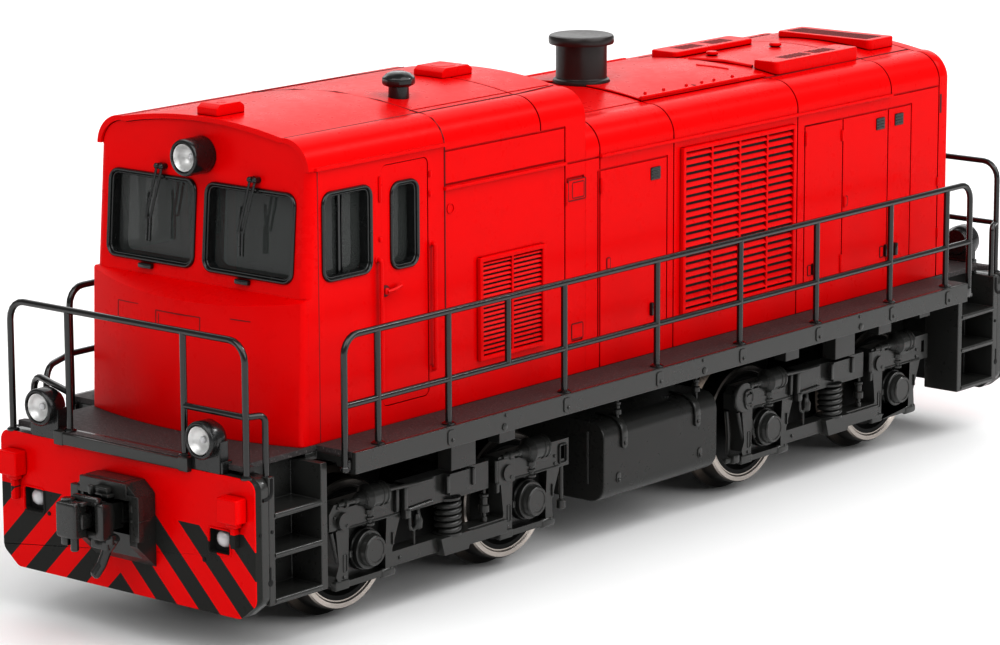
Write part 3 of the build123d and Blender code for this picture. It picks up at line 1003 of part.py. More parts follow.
number = 0
for end in (1, -1):
    for x in (end * BOGIE_X + WHEELBASE / 2, end * BOGIE_X - WHEELBASE / 2):
        number += 1
        with BuildPart() as tyres:
            for side in (-1, 1):
                turned((x, side * WHEEL_IN, AXLE_Z), [(side * along, radius) for along, radius in TYRE], "y")
        save(tyres, f"tyres_{number}")
        with BuildPart() as axle:
            for side in (-1, 1):
                turned((x, 0, AXLE_Z), [(side * along, radius) for along, radius in HALF_AXLE], "y")
        save(axle, f"axle_{number}")
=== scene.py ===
import json
import math
from contextlib import contextmanager

import bpy
from bpy.props import FloatProperty, FloatVectorProperty, PointerProperty
from mathutils import Matrix, Vector

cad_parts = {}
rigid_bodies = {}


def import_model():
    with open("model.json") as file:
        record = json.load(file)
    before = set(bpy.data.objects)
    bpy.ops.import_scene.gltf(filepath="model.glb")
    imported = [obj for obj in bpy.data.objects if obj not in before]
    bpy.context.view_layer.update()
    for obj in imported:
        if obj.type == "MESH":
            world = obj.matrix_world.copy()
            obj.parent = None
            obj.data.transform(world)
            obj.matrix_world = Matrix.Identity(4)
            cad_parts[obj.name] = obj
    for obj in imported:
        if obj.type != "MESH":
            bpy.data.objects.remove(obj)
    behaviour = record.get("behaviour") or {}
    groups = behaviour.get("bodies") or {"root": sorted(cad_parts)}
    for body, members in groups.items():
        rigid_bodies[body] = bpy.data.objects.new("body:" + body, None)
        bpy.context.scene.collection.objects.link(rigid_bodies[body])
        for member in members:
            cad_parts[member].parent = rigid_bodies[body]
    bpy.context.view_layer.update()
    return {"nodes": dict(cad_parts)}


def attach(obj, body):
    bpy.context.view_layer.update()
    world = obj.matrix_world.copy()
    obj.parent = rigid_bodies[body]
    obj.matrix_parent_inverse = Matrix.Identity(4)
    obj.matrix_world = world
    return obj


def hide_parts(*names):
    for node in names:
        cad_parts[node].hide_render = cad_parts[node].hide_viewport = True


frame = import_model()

bl_info = {
    "name": "Model diesel locomotive",
    "version": (1, 0, 0),
    "blender": (4, 5, 0),
    "location": "3D View > Sidebar > Locomotive",
    "description": "Models the finish and fine details of a four-axle model locomotive on its packed frame",
    "category": "Mesh",
}

MM = 0.001
MERGE = 1e-7            # points closer than this, in metres, are one
X, Y, Z = Vector((1, 0, 0)), Vector((0, 1, 0)), Vector((0, 0, 1))
ENDS = (("front", 1), ("rear", -1))
SIDES = (("left", 1), ("right", -1))

# main places of the locomotive, in millimetres
AXLE_Z = 6.65
BOGIE_X = 28.75         # bogie centre
HALF_BASE = 10.85       # bogie centre to axle
FRAME_IN = 11.2         # inner face of the side frames
DECK_TOP = 16.95
BODY_Y = 12.4           # side walls of the cab and hoods
HOOD_REAR = -48.3
HIGH_CROWN = 43.6       # roof of the cab and the high hood
LOW_CROWN = 40.45
PLATE_X = 56.0          # outer faces of the end plates
BEAM_X = 53.93          # middle of the beam behind an end plate


# ---- sizes and colours a user may change ----------------------------------
def colour(name, description, value):
    return FloatVectorProperty(name=name, description=description, default=value, size=3, subtype="COLOR",
                               min=0.0, max=1.0)


def size(name, description, millimetres):
    return FloatProperty(name=name, description=description, default=millimetres * MM, unit="LENGTH",
                         min=0.0, precision=5)


def power(name, description, watts):
    return FloatProperty(name=name, description=description, default=watts, unit="POWER")


class LocomotiveFinish(bpy.types.PropertyGroup):
    body_red: colour("Body red", "Paint of the cab, hoods and end plates", (0.66, 0.0002, 0.0012))
    charcoal: colour("Charcoal", "Moulded underframe, bogies and tank", (0.0235, 0.0240, 0.0225))
    walkway: colour("Walkway brown", "Grained walkway and porch floors", (0.040, 0.035, 0.035))
    rubber: colour("Window rubber", "Window seals and lamp housings", (0.010, 0.011, 0.011))
    glass: colour("Glass tint", "Tint of the cab glazing", (0.064, 0.070, 0.067))
    nickel: colour("Nickel", "Turned wheel rims", (0.70, 0.64, 0.59))
    reflector: colour("Reflector", "Lamp reflectors", (0.93, 0.93, 0.92))


class LocomotiveSizes(bpy.types.PropertyGroup):
    edge: size("Edge round", "Rounding of moulded edges", 0.09)
    rail_radius: size("Rail radius", "Radius of the handrails", 0.30)
    grab_radius: size("Grab rail radius", "Radius of the grab rails at the doors", 0.19)


class LocomotiveView(bpy.types.PropertyGroup):
    focal: FloatProperty(name="Focal length", description="Camera lens in millimetres", default=146.21, min=1.0)
    key: FloatProperty(name="Key light", description="Strength of the soft side light", default=2.3)
    front: power("Front light", "Power of the light from the front", 2.9)
    rim: power("Rim light", "Power of the light from behind", 16.0)
    glint: power("Glint light", "Power of the small light for edges", 1.3)
    surround: FloatProperty(name="Surround", description="Light from all round", default=0.35)


# ---- modelling helpers ----------------------------------------------------
def alone(obj):
    """Makes obj the only selected object, and the active one, in object mode."""
    if bpy.context.mode != "OBJECT":
        bpy.ops.object.mode_set(mode="OBJECT")
    bpy.ops.object.select_all(action="DESELECT")
    obj.select_set(True)
    bpy.context.view_layer.objects.active = obj
    return obj


def settled():
    """Applies the active object's place, turn and size to its mesh."""
    bpy.ops.object.transform_apply(location=True, rotation=True, scale=True)
    return bpy.context.object


def set_down(obj, centre):
    """Moves obj to a place in mm, with its turn applied as well."""
    obj.location = Vector(centre) * MM
    alone(obj)
    return settled()


@contextmanager
def editing(obj, kind="FACE"):
    """Edit mode on one object, with everything selected to begin with."""
    alone(obj)
    bpy.ops.object.mode_set(mode="EDIT")
    bpy.ops.mesh.select_mode(type=kind)
    bpy.ops.mesh.select_all(action="SELECT")
    yield
    bpy.ops.object.mode_set(mode="OBJECT")


def pull(by):
    """Extrudes what is selected in edit mode, by a vector in metres."""
    bpy.ops.mesh.extrude_region_move(TRANSFORM_OT_translate={"value": by})


def outwards(obj, merge=MERGE):
    """Merges doubled points and turns all faces outwards."""
    with editing(obj, "VERT"):
        bpy.ops.mesh.remove_doubles(threshold=merge)
        bpy.ops.mesh.normals_make_consistent(inside=False)
    return obj


def modified(obj, kind, **settings):
    """Adds one modifier and applies it."""
    alone(obj)
    modifier = obj.modifiers.new("shape", kind)
    for key, value in settings.items():
        setattr(modifier, key, value)
    bpy.ops.object.modifier_apply(modifier=modifier.name)
    return obj


def rounded(obj, width=0.1, segments=2, angle=35.0):
    """Rounds the sharp edges; width in mm."""
    return modified(obj, "BEVEL", width=width * MM, segments=segments, limit_method="ANGLE",
                    angle_limit=math.radians(angle), use_clamp_overlap=True, miter_outer="MITER_ARC")


def block(low, high, round_by=0.08, segments=2):
    """Box between two corners in mm, with its edges bevelled."""
    low, high = Vector(low) * MM, Vector(high) * MM
    bpy.ops.mesh.primitive_cube_add(size=1, location=(low + high) / 2, scale=high - low)
    obj = settled()
    if round_by:
        with editing(obj, "EDGE"):
            bpy.ops.mesh.bevel(offset=round_by * MM, segments=segments, affect="EDGES")
    return obj


def turned(centre, axis, profile, sides=32, round_by=0.0, ring=False):
    """Turned shape: a disc extruded and resized along its axis. profile holds (along, radius) in mm.
    A ring starts from a bare circle and ends where it began."""
    (here, radius), *rest = profile
    bpy.ops.mesh.primitive_circle_add(vertices=sides, radius=radius * MM, fill_type="NOTHING" if ring else "NGON",
                                      location=(0, 0, here * MM))
    obj = settled()
    with editing(obj, "EDGE" if ring else "FACE"):
        for along, wide in (*rest, *profile[:1]) if ring else rest:
            pull((0, 0, (along - here) * MM))
            share = wide / radius
            bpy.ops.transform.resize(value=(share, share, 1), center_override=(0, 0, along * MM))
            here, radius = along, wide
    obj.rotation_euler = Vector(axis).to_track_quat("Z", "Y").to_euler()
    outwards(set_down(obj, centre))
    if round_by:
        rounded(obj, round_by)
    return obj


def rod(points, radius, bend=0.0, sides=12, steps=5):
    """Round rod: a disc extruded along its runs and spun round its bends; all in mm."""
    points = [Vector(p) * MM for p in points]
    ways = [(b - a).normalized() for a, b in zip(points, points[1:])]
    bpy.ops.mesh.primitive_circle_add(vertices=sides, radius=radius * MM, fill_type="NGON", location=points[0],
                                      rotation=ways[0].to_track_quat("Z", "Y").to_euler())
    obj = settled()
    here = points[0]
    with editing(obj):
        for corner, way, onward in zip(points[1:], ways, ways[1:]):
            turn = way.angle(onward)
            trim = bend * MM * math.tan(turn / 2)
            start = corner - way * trim
            pull(start - here)
            hinge = way.cross(onward).normalized()
            bpy.ops.mesh.spin(steps=steps, dupli=False, angle=-turn, axis=hinge,
                              center=start + hinge.cross(way) * bend * MM)
            here = corner + onward * trim
        pull(points[-1] - here)
    return outwards(obj)


def coil(centre, radius, wire, turns, height, sides=10, steps=24):
    """Coil spring with an upright axis; all in mm."""
    bpy.ops.mesh.primitive_circle_add(vertices=sides, radius=wire * MM, location=(radius * MM, 0, wire * MM),
                                      rotation=(math.pi / 2, 0, 0))
    obj = settled()
    modified(obj, "SCREW", axis="Z", angle=math.tau * turns, screw_offset=(height - 2 * wire) * MM,
             iterations=1, steps=int(steps * turns), render_steps=int(steps * turns))
    with editing(obj, "VERT"):
        bpy.ops.mesh.remove_doubles(threshold=MERGE)
        bpy.ops.mesh.fill_holes(sides=0)
    return outwards(set_down(obj, centre))


def end_block(end, low, high, round_by=0.08, segments=2):
    """block() at one end, with its corners given as at the front."""
    (x0, *low), (x1, *high) = low, high
    x0, x1 = sorted((end * x0, end * x1))
    return block((x0, *low), (x1, *high), round_by, segments)


WALLS = {"left": (-X, Z, Y), "right": (X, Z, -Y), "front": (Y, Z, X), "rear": (-Y, Z, -X), "top": (X, Y, Z)}
RAKE = Vector((-0.85, 0, 10.7)).normalized()
WALLS["screen"] = (Y, RAKE, Y.cross(RAKE))          # the raked front wall of the cab


def screen_x(z):
    """Place of the raked front wall at one height."""
    return 46.7 - 0.85 * (z - 29.4) / 10.7


def placed(obj, wall, at=(0, 0, 0)):
    """Sets a shape modelled flat, with X across, Y up and Z outwards, against a wall; at in mm."""
    matrix = Matrix(WALLS[wall]).transposed().to_4x4()
    matrix.translation = Vector(at) * MM
    obj.matrix_world = matrix
    alone(obj)
    return settled()


def dotted(obj, wall, spots):
    """One object with a copy of a flat model at each spot of a wall; the model itself is dropped."""
    copies = [placed(moved(obj, Matrix()), wall, spot) for spot in spots]
    drop(obj)
    return joined(copies)


def plate(width, height, thick, corner=0.3, edge=0.05):
    """Flat plate with rounded corners, in XY about the origin; in mm."""
    bpy.ops.mesh.primitive_plane_add(size=MM)
    bpy.context.object.scale = (width, height, 1)
    obj = settled()
    with editing(obj, "VERT"):
        bpy.ops.mesh.bevel(offset=corner * MM, segments=4, affect="VERTICES")
    with editing(obj):
        pull((0, 0, thick * MM))
    outwards(obj)
    return rounded(obj, edge) if edge else obj


def hoop(width, height, corner, wide, thick, sides=10, steps=5):
    """Closed band round a rounded rectangle, in XY about the origin: a loop extruded and spun; in mm."""
    bpy.ops.mesh.primitive_circle_add(vertices=sides, radius=0.5 * MM, location=(0, -height / 2 * MM, 0),
                                      rotation=(0, math.pi / 2, 0))
    bpy.context.object.scale = (thick, wide, 1)
    obj = settled()
    runs = ((X, width / 2 - corner), (Y, height - 2 * corner), (-X, width - 2 * corner), (-Y, height - 2 * corner),
            (X, width / 2 - corner))
    here = Vector((0, -height / 2, 0)) * MM
    with editing(obj, "EDGE"):
        for place, (way, run) in enumerate(runs):
            pull(way * run * MM)
            here = here + way * run * MM
            if place < 4:
                inward = Z.cross(way) * corner * MM
                bpy.ops.mesh.spin(steps=steps, dupli=False, angle=-math.pi / 2, axis=Z, center=here + inward)
                here = here + inward + way * corner * MM
    return outwards(obj, 1e-6)


def stud(radius=0.2, high=0.15, sides=10):
    """Round bolt head, on XY."""
    return turned((0, 0, 0), Z, ((-0.05, radius), (high * 0.6, radius), (high, radius * 0.6)), sides)


def moved(obj, matrix):
    """A copy of obj with its own mesh, placed by matrix."""
    copy = obj.copy()
    copy.data = obj.data.copy()
    copy.data.transform(matrix)
    if matrix.determinant() < 0:
        copy.data.flip_normals()
    bpy.context.scene.collection.objects.link(copy)
    return copy


def drop(obj):
    """Removes obj with its mesh."""
    bpy.data.meshes.remove(obj.data)


def joined(objs):
    """Joins objects into the first of them."""
    objs = list(objs)
    alone(objs[0])
    for obj in objs:
        obj.select_set(True)
    if len(objs) > 1:
        bpy.ops.object.join()
    return bpy.context.object


def repeated(obj, offsets):
    """One object with a copy of obj at each offset in mm; the model itself is dropped."""
    copies = [moved(obj, Matrix.Translation(Vector(offset) * MM)) for offset in offsets]
    drop(obj)
    return joined(copies)


def mirrored(obj, across="y"):
    """obj and its mirror image, as one object."""
    axes = [name == across for name in "xyz"]
    return modified(obj, "MIRROR", use_axis=axes, use_mirror_merge=False)


def softened(node, width=0.1, segments=2, angle=35.0):
    """A copy of a CAD node, merged, cleared of needless edges, and with its edges rounded."""
    source = frame["nodes"][node]
    obj = bpy.data.objects.new(node + "_made", source.data.copy())
    bpy.context.scene.collection.objects.link(obj)
    with editing(obj, "VERT"):
        bpy.ops.mesh.remove_doubles(threshold=1e-6)
        bpy.ops.mesh.dissolve_limited(angle_limit=math.radians(1.0))
    if width:
        rounded(obj, width, segments, angle)
    return obj


def finished(obj, name, finish, *replaces, body="locomotive", slot=None, smooth=35.0):
    """Names a piece, gives it its finish and its body, and lets it stand for its frame nodes.
    The slot argument is not used."""
    alone(obj)
    obj.name = obj.data.name = name
    obj.data.materials.clear()
    obj.data.materials.append(FINISHES[finish])
    bpy.ops.object.shade_smooth_by_angle(angle=math.radians(smooth))
    modified(obj, "WEIGHTED_NORMAL", keep_sharp=True, weight=100)
    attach(obj, body)
    slot = slot or finish
    if replaces:
        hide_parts(*replaces)
    return obj


# ---- finishes -------------------------------------------------------------
FINISHES = {}


class Nodes:
    """Short way of building a material's node tree."""

    def __init__(self, name):
        self.material = bpy.data.materials.new(name)
        self.material.use_nodes = True
        self.tree = self.material.node_tree
        self.shader = self.tree.nodes["Principled BSDF"]
        self.place = self.tree.nodes.new("ShaderNodeTexCoord").outputs["Object"]
        FINISHES[name] = self.material

    def feed(self, socket, value):
        """Links another node's output to a socket, or sets the socket itself."""
        if isinstance(value, bpy.types.NodeSocket):
            self.tree.links.new(value, socket)
        else:
            socket.default_value = value

    def node(self, kind, inputs=(), **settings):
        made = self.tree.nodes.new("ShaderNode" + kind)
        for key, value in settings.items():
            setattr(made, key, value)
        for key, value in dict(inputs).items():
            self.feed(made.inputs[key], value)
        return made

    def noise(self, scale, detail=3.0, roughness=0.55, distortion=0.0):
        return self.node("TexNoise", {"Vector": self.place, "Scale": scale, "Detail": detail,
                                      "Roughness": roughness, "Distortion": distortion}).outputs["Fac"]

    def math(self, operation, a, b=0.0):
        return self.node("Math", {0: a, 1: b}, operation=operation).outputs[0]

    def span(self, value, low, high, from_low=0.0, from_high=1.0):
        return self.node("MapRange", {"Value": value, "From Min": from_low, "From Max": from_high,
                                      "To Min": low, "To Max": high}).outputs[0]

    def mix(self, share, a, b):
        return self.node("Mix", {0: share, 6: a, 7: b}, data_type="RGBA").outputs[2]

    def painted_crevice_shade(self, reach, low, high):
        """Mask for painted shade, from ambient occlusion: 0 in crevices, 1 in the open; reach in mm."""
        room = self.node("AmbientOcclusion", {"Distance": reach * MM}, samples=16).outputs["AO"]
        return self.span(room, 0.0, 1.0, low, high)

    def set(self, **values):
        names = {"rough": "Roughness", "colour": "Base Color", "metal": "Metallic", "normal": "Normal",
                 "coat": "Coat Weight", "coat_rough": "Coat Roughness", "ior": "IOR",
                 "specular": "Specular IOR Level", "alpha": "Alpha"}
        for key, value in values.items():
            self.feed(self.shader.inputs[names[key]], value)

    def colour(self):
        """The output that feeds the shader's colour."""
        return self.shader.inputs["Base Color"].links[0].from_socket

    def bump(self, height, strength, distance):
        return self.node("Bump", {"Height": height, "Strength": strength, "Distance": distance * MM}).outputs[0]


def shade(rgb, by):
    """A colour made lighter or darker, with its alpha."""
    return (*[min(1.0, c * by) for c in rgb[:3]], 1.0)


def moulded(name, rgb, rough, spread=0.06, mottle=0.10, grain=1800.0, depth=0.010, metal=0.0, coat=0.0,
            specular=0.5, reach=0.55):
    """Paint or moulded plastic: faint mottle, uneven gloss, fine grain, and painted shade that darkens the colour
    in crevices.
    """
    n = Nodes(name)
    broad, fine = n.noise(160.0, 4.0), n.noise(grain, 2.0)
    # painted shade: in crevices and corners the colour runs down to a tenth of its brightness
    painted_crevice_shade = n.painted_crevice_shade(reach, 0.22, 0.68)        # crevices gather shade
    n.set(colour=n.mix(painted_crevice_shade, shade(rgb, 0.10), n.mix(broad, shade(rgb, 1 - mottle), shade(rgb, 1 + mottle))),
          rough=n.span(n.math("ADD", broad, fine), rough - spread, rough + spread, 0.6, 1.4),
          metal=metal, coat=coat, coat_rough=0.12, specular=specular, normal=n.bump(fine, 0.5, depth))
    return n


PAINT = dict(rough=0.30, mottle=0.04, grain=1300.0, depth=0.004, specular=0.07)
RIM_OUT = 9.84          # the wheels are bright from here outwards, in mm
# chevrons of the end plates, in mm: sideways shift, start, pitch and top, and the face they are on
STRIPE_SHIFT, STRIPE_START, STRIPE_PITCH, STRIPE_TOP, STRIPE_FACE = 0.7, 8.32, 5.02, 11.45, 55.86
STRIPE_SHARE = 0.49     # share of the pitch that is dark


def make_finishes(colours):
    red, charcoal = colours.body_red, colours.charcoal
    moulded("body_red", red, **PAINT)
    moulded("grab_red", red, 0.33, mottle=0.05, specular=0.12)
    # the frames and the couplers spread their painted crevice shade further
    moulded("frame_black", shade(charcoal, 1.10), 0.31, mottle=0.12, depth=0.006, specular=0.45, coat=0.30,
            reach=2.2)
    # charcoal made much darker for the bogie cores between the side frames: painted shade
    moulded("core_black", shade(charcoal, 0.22), 0.45, mottle=0.12, specular=0.15)
    moulded("tank_black", shade(charcoal, 0.92), 0.30, mottle=0.10, depth=0.004, specular=0.4)
    moulded("rail_black", shade(charcoal, 0.22), 0.20, mottle=0.10, specular=0.6, coat=0.4)
    moulded("lamp_black", shade(colours.rubber, 0.8), 0.26, mottle=0.12, specular=0.5, coat=0.3)
    moulded("window_rubber", shade(colours.rubber, 0.7), 0.24, mottle=0.15, specular=0.5, coat=0.4)
    moulded("spring_black", shade(charcoal, 0.95), 0.30, mottle=0.12, specular=0.6)
    moulded("wheel_black", shade(charcoal, 0.25), 0.50, specular=0.2)
    moulded("coupler_black", shade(charcoal, 0.6), 0.26, mottle=0.15, depth=0.010, specular=0.5, coat=0.4,
            reach=1.0)
    moulded("cab_grey", (0.16, 0.17, 0.17), 0.60, mottle=0.10)
    moulded("ballast_metal", (0.20, 0.20, 0.20), 0.60, metal=0.6)

    n = Nodes("walkway_brown")
    grain, speck = n.noise(5200.0, 2.0), n.noise(2600.0, 3.0, 0.7)
    base = n.mix(speck, shade(colours.walkway, 0.55), shade(colours.walkway, 1.5))
    fleck = n.span(grain, 0.0, 1.0, 0.60, 0.72)
    n.set(colour=n.mix(fleck, base, shade(colours.walkway, 3.6)), rough=n.span(speck, 0.5, 0.72, 0.3, 0.7),
          normal=n.bump(grain, 0.9, 0.05))

    # bright outer faces, stained treads and flanges, and painted shade that darkens the wheels where the bogie
    # frames crowd them
    n = Nodes("wheel_rim")
    rings = n.node("TexWave", {"Vector": n.place, "Scale": 900.0, "Distortion": 1.5, "Detail": 2.0},
                   wave_type="RINGS", rings_direction="Y").outputs["Fac"]
    stain = n.noise(420.0, 4.0)
    across = n.math("ABSOLUTE", n.node("SeparateXYZ", {"Vector": n.place}).outputs["Y"])
    outer = n.math("GREATER_THAN", across, RIM_OUT * MM)
    n.set(colour=n.mix(outer, n.mix(stain, (0.10, 0.082, 0.07, 1), (0.24, 0.20, 0.17, 1)),
                       n.mix(stain, shade(colours.nickel, 0.82), shade(colours.nickel, 1.08))), metal=1.0,
          rough=n.span(stain, 0.26, 0.36), normal=n.bump(rings, 0.2, 0.008))
    # painted shade: near black where the frames crowd the wheels, from ambient occlusion
    n.set(colour=n.mix(n.painted_crevice_shade(6.0, 0.24, 0.58), (0.012, 0.011, 0.010, 1), n.colour()))

    # tinted panes with a thin film of dust
    n = Nodes("window_glass")
    film = n.noise(60.0, 2.0)
    n.set(colour=n.mix(film, shade(colours.glass, 0.9), shade(colours.glass, 1.1)), ior=1.45, alpha=0.62,
          rough=n.span(film, 0.0, 0.02))

    n = Nodes("reflector")
    cloud = n.noise(700.0, 2.0)
    n.set(colour=n.mix(cloud, shade(colours.reflector, 0.62), shade(colours.reflector, 0.78)), metal=0.7,
          rough=n.span(cloud, 0.38, 0.46), normal=n.bump(cloud, 0.1, 0.01))

    moulded("stack_black", (0.017, 0.013, 0.012), 0.33, mottle=0.20)
    # near black: bolts and groove on the beams, and painted shade behind the grille slats and lamp windows
    moulded("near_black_and_painted_shade", (0.002, 0.002, 0.002), 0.75, mottle=0.2)
    moulded("joint_red", (0.10, 0.0003, 0.001), 0.6, mottle=0.1)
    moulded("bulb", (0.55, 0.55, 0.56), 0.25, mottle=0.12, coat=0.3)

    # end plates: red, with charcoal chevrons below a line and charcoal edges
    n = moulded("end_red", red, **PAINT)
    paint = n.colour()
    place = n.node("SeparateXYZ", {"Vector": n.place}).outputs
    depth = n.math("ABSOLUTE", place["X"])
    across = n.math("ABSOLUTE", n.math("ADD", place["Y"], STRIPE_SHIFT * MM))
    slant = n.math("SUBTRACT", n.math("ADD", across, place["Z"]), STRIPE_START * MM)
    run = n.math("FRACT", n.math("DIVIDE", slant, STRIPE_PITCH * MM))
    stripe = n.math("MULTIPLY", n.math("LESS_THAN", run, STRIPE_SHARE),
                    n.math("LESS_THAN", place["Z"], STRIPE_TOP * MM))
    black = n.math("MAXIMUM", stripe, n.math("LESS_THAN", depth, STRIPE_FACE * MM))
    n.set(colour=n.mix(black, paint, shade(charcoal, 1.1)))


# ---- pieces ---------------------------------------------------------------
class LOCO_OT_finishes(bpy.types.Operator):
    """Builds the finishes and gives every frame part its own"""
    bl_idname = "locomotive.finishes"
    bl_label = "Finishes"

    def execute(self, context):
        make_finishes(context.scene.locomotive_finish)
        for node in frame["nodes"].values():
            for place, material in enumerate(node.data.materials):
                finish = material.name.split(".")[0]
                if finish not in FINISHES:
                    raise RuntimeError(f"no finish for {material.name}")
                node.data.materials[place] = FINISHES[finish]
        return {"FINISHED"}


# nodes whose shape stays and whose edges are rounded: finish, rounding in mm, and body if on a bogie
SOFTENED = (
    ("underframe", "frame_black", 0.08),
    ("walkways", "walkway_brown", 0.03),
    ("porch_deck_front", "walkway_brown", 0.05),
    ("porch_deck_rear", "walkway_brown", 0.05),
    ("steps_front", "frame_black", 0.10),
    ("steps_rear", "frame_black", 0.10),
    ("cab_body", "body_red", 0.06),
    ("cab_roof", "body_red", 0.06),
    ("cab_nose", "body_red", 0.12),
    ("cab_doors", "body_red", 0.04),
    ("high_hood", "body_red", 0.04),
    ("low_hood", "body_red", 0.04),
    ("roof_hatches", "body_red", 0.05),
    ("roof_louvres", "body_red", 0.12),
    ("cab_interior", "cab_grey", 0.10),
    ("coupler_pocket_front", "frame_black", 0.07),
    ("coupler_pocket_rear", "frame_black", 0.07),
    # the bogie cores take charcoal darkened as painted shade
    ("bogie_core_front", "core_black", 0.12, "bogie_front"),
    ("bogie_core_rear", "core_black", 0.12, "bogie_rear"),
    ("side_frame_front_left", "frame_black", 0.07, "bogie_front"),
    ("side_frame_front_right", "frame_black", 0.07, "bogie_front"),
    ("side_frame_rear_left", "frame_black", 0.07, "bogie_rear"),
    ("side_frame_rear_right", "frame_black", 0.07, "bogie_rear"),
)


class LOCO_OT_mouldings(bpy.types.Operator):
    """Rounds the edges of the moulded parts"""
    bl_idname = "locomotive.mouldings"
    bl_label = "Mouldings"

    def execute(self, context):
        share = context.scene.locomotive_sizes.edge / (0.09 * MM)
        for node, finish, width, *bogie in SOFTENED:
            finished(softened(node, width * share), node + "_rounded", finish, node,
                     body=bogie[0] if bogie else "locomotive",
                     slot="frame_black" if finish == "core_black" else finish)
        return {"FINISHED"}


# outlines from the wheel back outwards, and along the axle from its middle
TYRE = ((0, 4.95), (0, 6.38), (0.12, 6.56), (0.38, 6.65), (0.62, 6.56), (0.80, 6.30), (0.98, 5.96), (1.20, 5.85),
        (2.62, 5.77), (2.80, 5.62), (2.80, 5.20), (2.68, 5.08), (2.68, 4.95))
WHEEL = ((7.2, 1.2), (7.2, 4.95), (9.85, 4.95), (9.85, 4.55), (9.60, 4.40), (9.25, 4.15), (9.25, 2.10),
         (9.50, 1.90), (9.85, 1.40), (9.95, 0.60), (11.80, 0.60))
AXLE_X = (39.6, 17.9, -17.9, -39.6)


class LOCO_OT_wheels(bpy.types.Operator):
    """Turned bright tyres, with wheel centres and axles"""
    bl_idname = "locomotive.wheels"
    bl_label = "Wheels"

    def execute(self, context):
        tyre = mirrored(turned((0, 7.2, AXLE_Z), Y, TYRE, sides=64, ring=True))
        axle = turned((0, 0, AXLE_Z), Y, [(-along, wide) for along, wide in reversed(WHEEL)] + list(WHEEL),
                      sides=40)
        for number, x in enumerate(AXLE_X, 1):
            place = Matrix.Translation(X * x * MM)
            body = f"wheelset_{number}"
            finished(moved(tyre, place), f"wheel_tyres_{number}", "wheel_rim", f"tyres_{number}", body=body,
                     smooth=28)
            finished(moved(axle, place), f"wheel_centres_{number}", "wheel_black", f"axle_{number}", body=body,
                     smooth=28)
        drop(tyre)
        drop(axle)
        return {"FINISHED"}


RAIL_Y = 16.2
RAIL_TOP, RAIL_MID = 26.8, 20.9
RAIL_ENDS = ((1, 46.26), (-1, -47.05))
SILL_END = 45.7
# railing of an end: x, half width, posts, height, middle bar, foot
END_X, END_Y, END_POST_Y, END_TOP, END_MID, END_FOOT = 55.6, 13.8, 6.8, 27.55, 21.3, 16.0
SIDE_COLLAR = ((-0.05, 0.62), (0.10, 0.62), (0.20, 0.46), (0.24, 0.38))
END_COLLAR = ((-0.05, 0.55), (0.10, 0.55), (0.22, 0.40))
SILL_POSTS = (42.08, 33.01, 17.31, 3.97, -8.64, -20.80, -33.13, -42.88)


class LOCO_OT_railings(bpy.types.Operator):
    """Bent handrails with their posts and collars"""
    bl_idname = "locomotive.railings"
    bl_label = "Railings"

    def execute(self, context):
        thick = context.scene.locomotive_sizes.rail_radius / MM
        for name, side in SIDES:
            y = side * RAIL_Y
            (_, front), (_, rear) = RAIL_ENDS
            rail = [rod([(front, y, 15.6), (front, y, RAIL_TOP), (rear, y, RAIL_TOP), (rear, y, 15.6)], thick, 1.6),
                    rod([(front, y, RAIL_MID), (rear, y, RAIL_MID)], thick * 0.95),
                    rod([(25.07, y, RAIL_MID), (25.07, y, RAIL_TOP)], thick * 0.95)]
            rail += [rod([(x, y, 16.9), (x, y, RAIL_TOP)], thick) for x in SILL_POSTS]
            rail.append(dotted(turned((0, 0, 0), Z, SIDE_COLLAR, 20), "top",
                               [(x, y, DECK_TOP) for x in SILL_POSTS]))
            for end, x in RAIL_ENDS:
                low, high = sorted((x, end * SILL_END))
                rail.append(block((low, y - 0.42, 15.35), (high, y + 0.42, 16.35), 0.15))
                rail.append(turned((x, y, 15.25), Z, ((0, 0.30), (0.1, 0.42), (0.4, 0.42), (0.5, 0.34)), 16))
            if side < 0:
                rail.append(rod([(front, y, RAIL_MID), (50.4, -14.9, 20.6), (50.9, -14.7, 16.9)],
                                thick * 0.95, 1.4))
            finished(joined(rail), f"handrail_{name}", "rail_black", f"railing_{name}")
        for name, end in ENDS:
            x = end * END_X
            thick *= 0.98
            rail = [rod([(x, -END_Y, END_FOOT), (x, -END_Y, END_TOP), (x, END_Y, END_TOP), (x, END_Y, END_FOOT)],
                        thick, 1.7)]
            for side in (1, -1):
                post, corner, back = side * END_POST_Y, side * END_Y, side * 14.4
                rail.append(rod([(x, post, 16.9), (x, post, END_TOP)], thick))
                if end < 0 or side > 0:
                    rail.append(rod([(x, post, END_MID), (x, corner, END_MID), (end * BEAM_X, back, END_MID),
                                     (end * BEAM_X, back, END_FOOT)], thick * 0.95, 0.6))
            if end > 0:
                rail.append(rod([(53.9, -12.9, 16.5), (53.9, -12.9, 20.9), (55.5, -6.9, 20.4)], 0.3, 1.3))
            rail.append(dotted(turned((0, 0, 0), Z, END_COLLAR, 18), "top",
                               [(x, y, z) for y, z in ((-END_Y, 16.15), (END_Y, 16.15),
                                                       (-END_POST_Y, 17.05), (END_POST_Y, 17.05))]))
            finished(joined(rail), f"end_rail_{name}", "rail_black", f"railing_{name}")
        return {"FINISHED"}


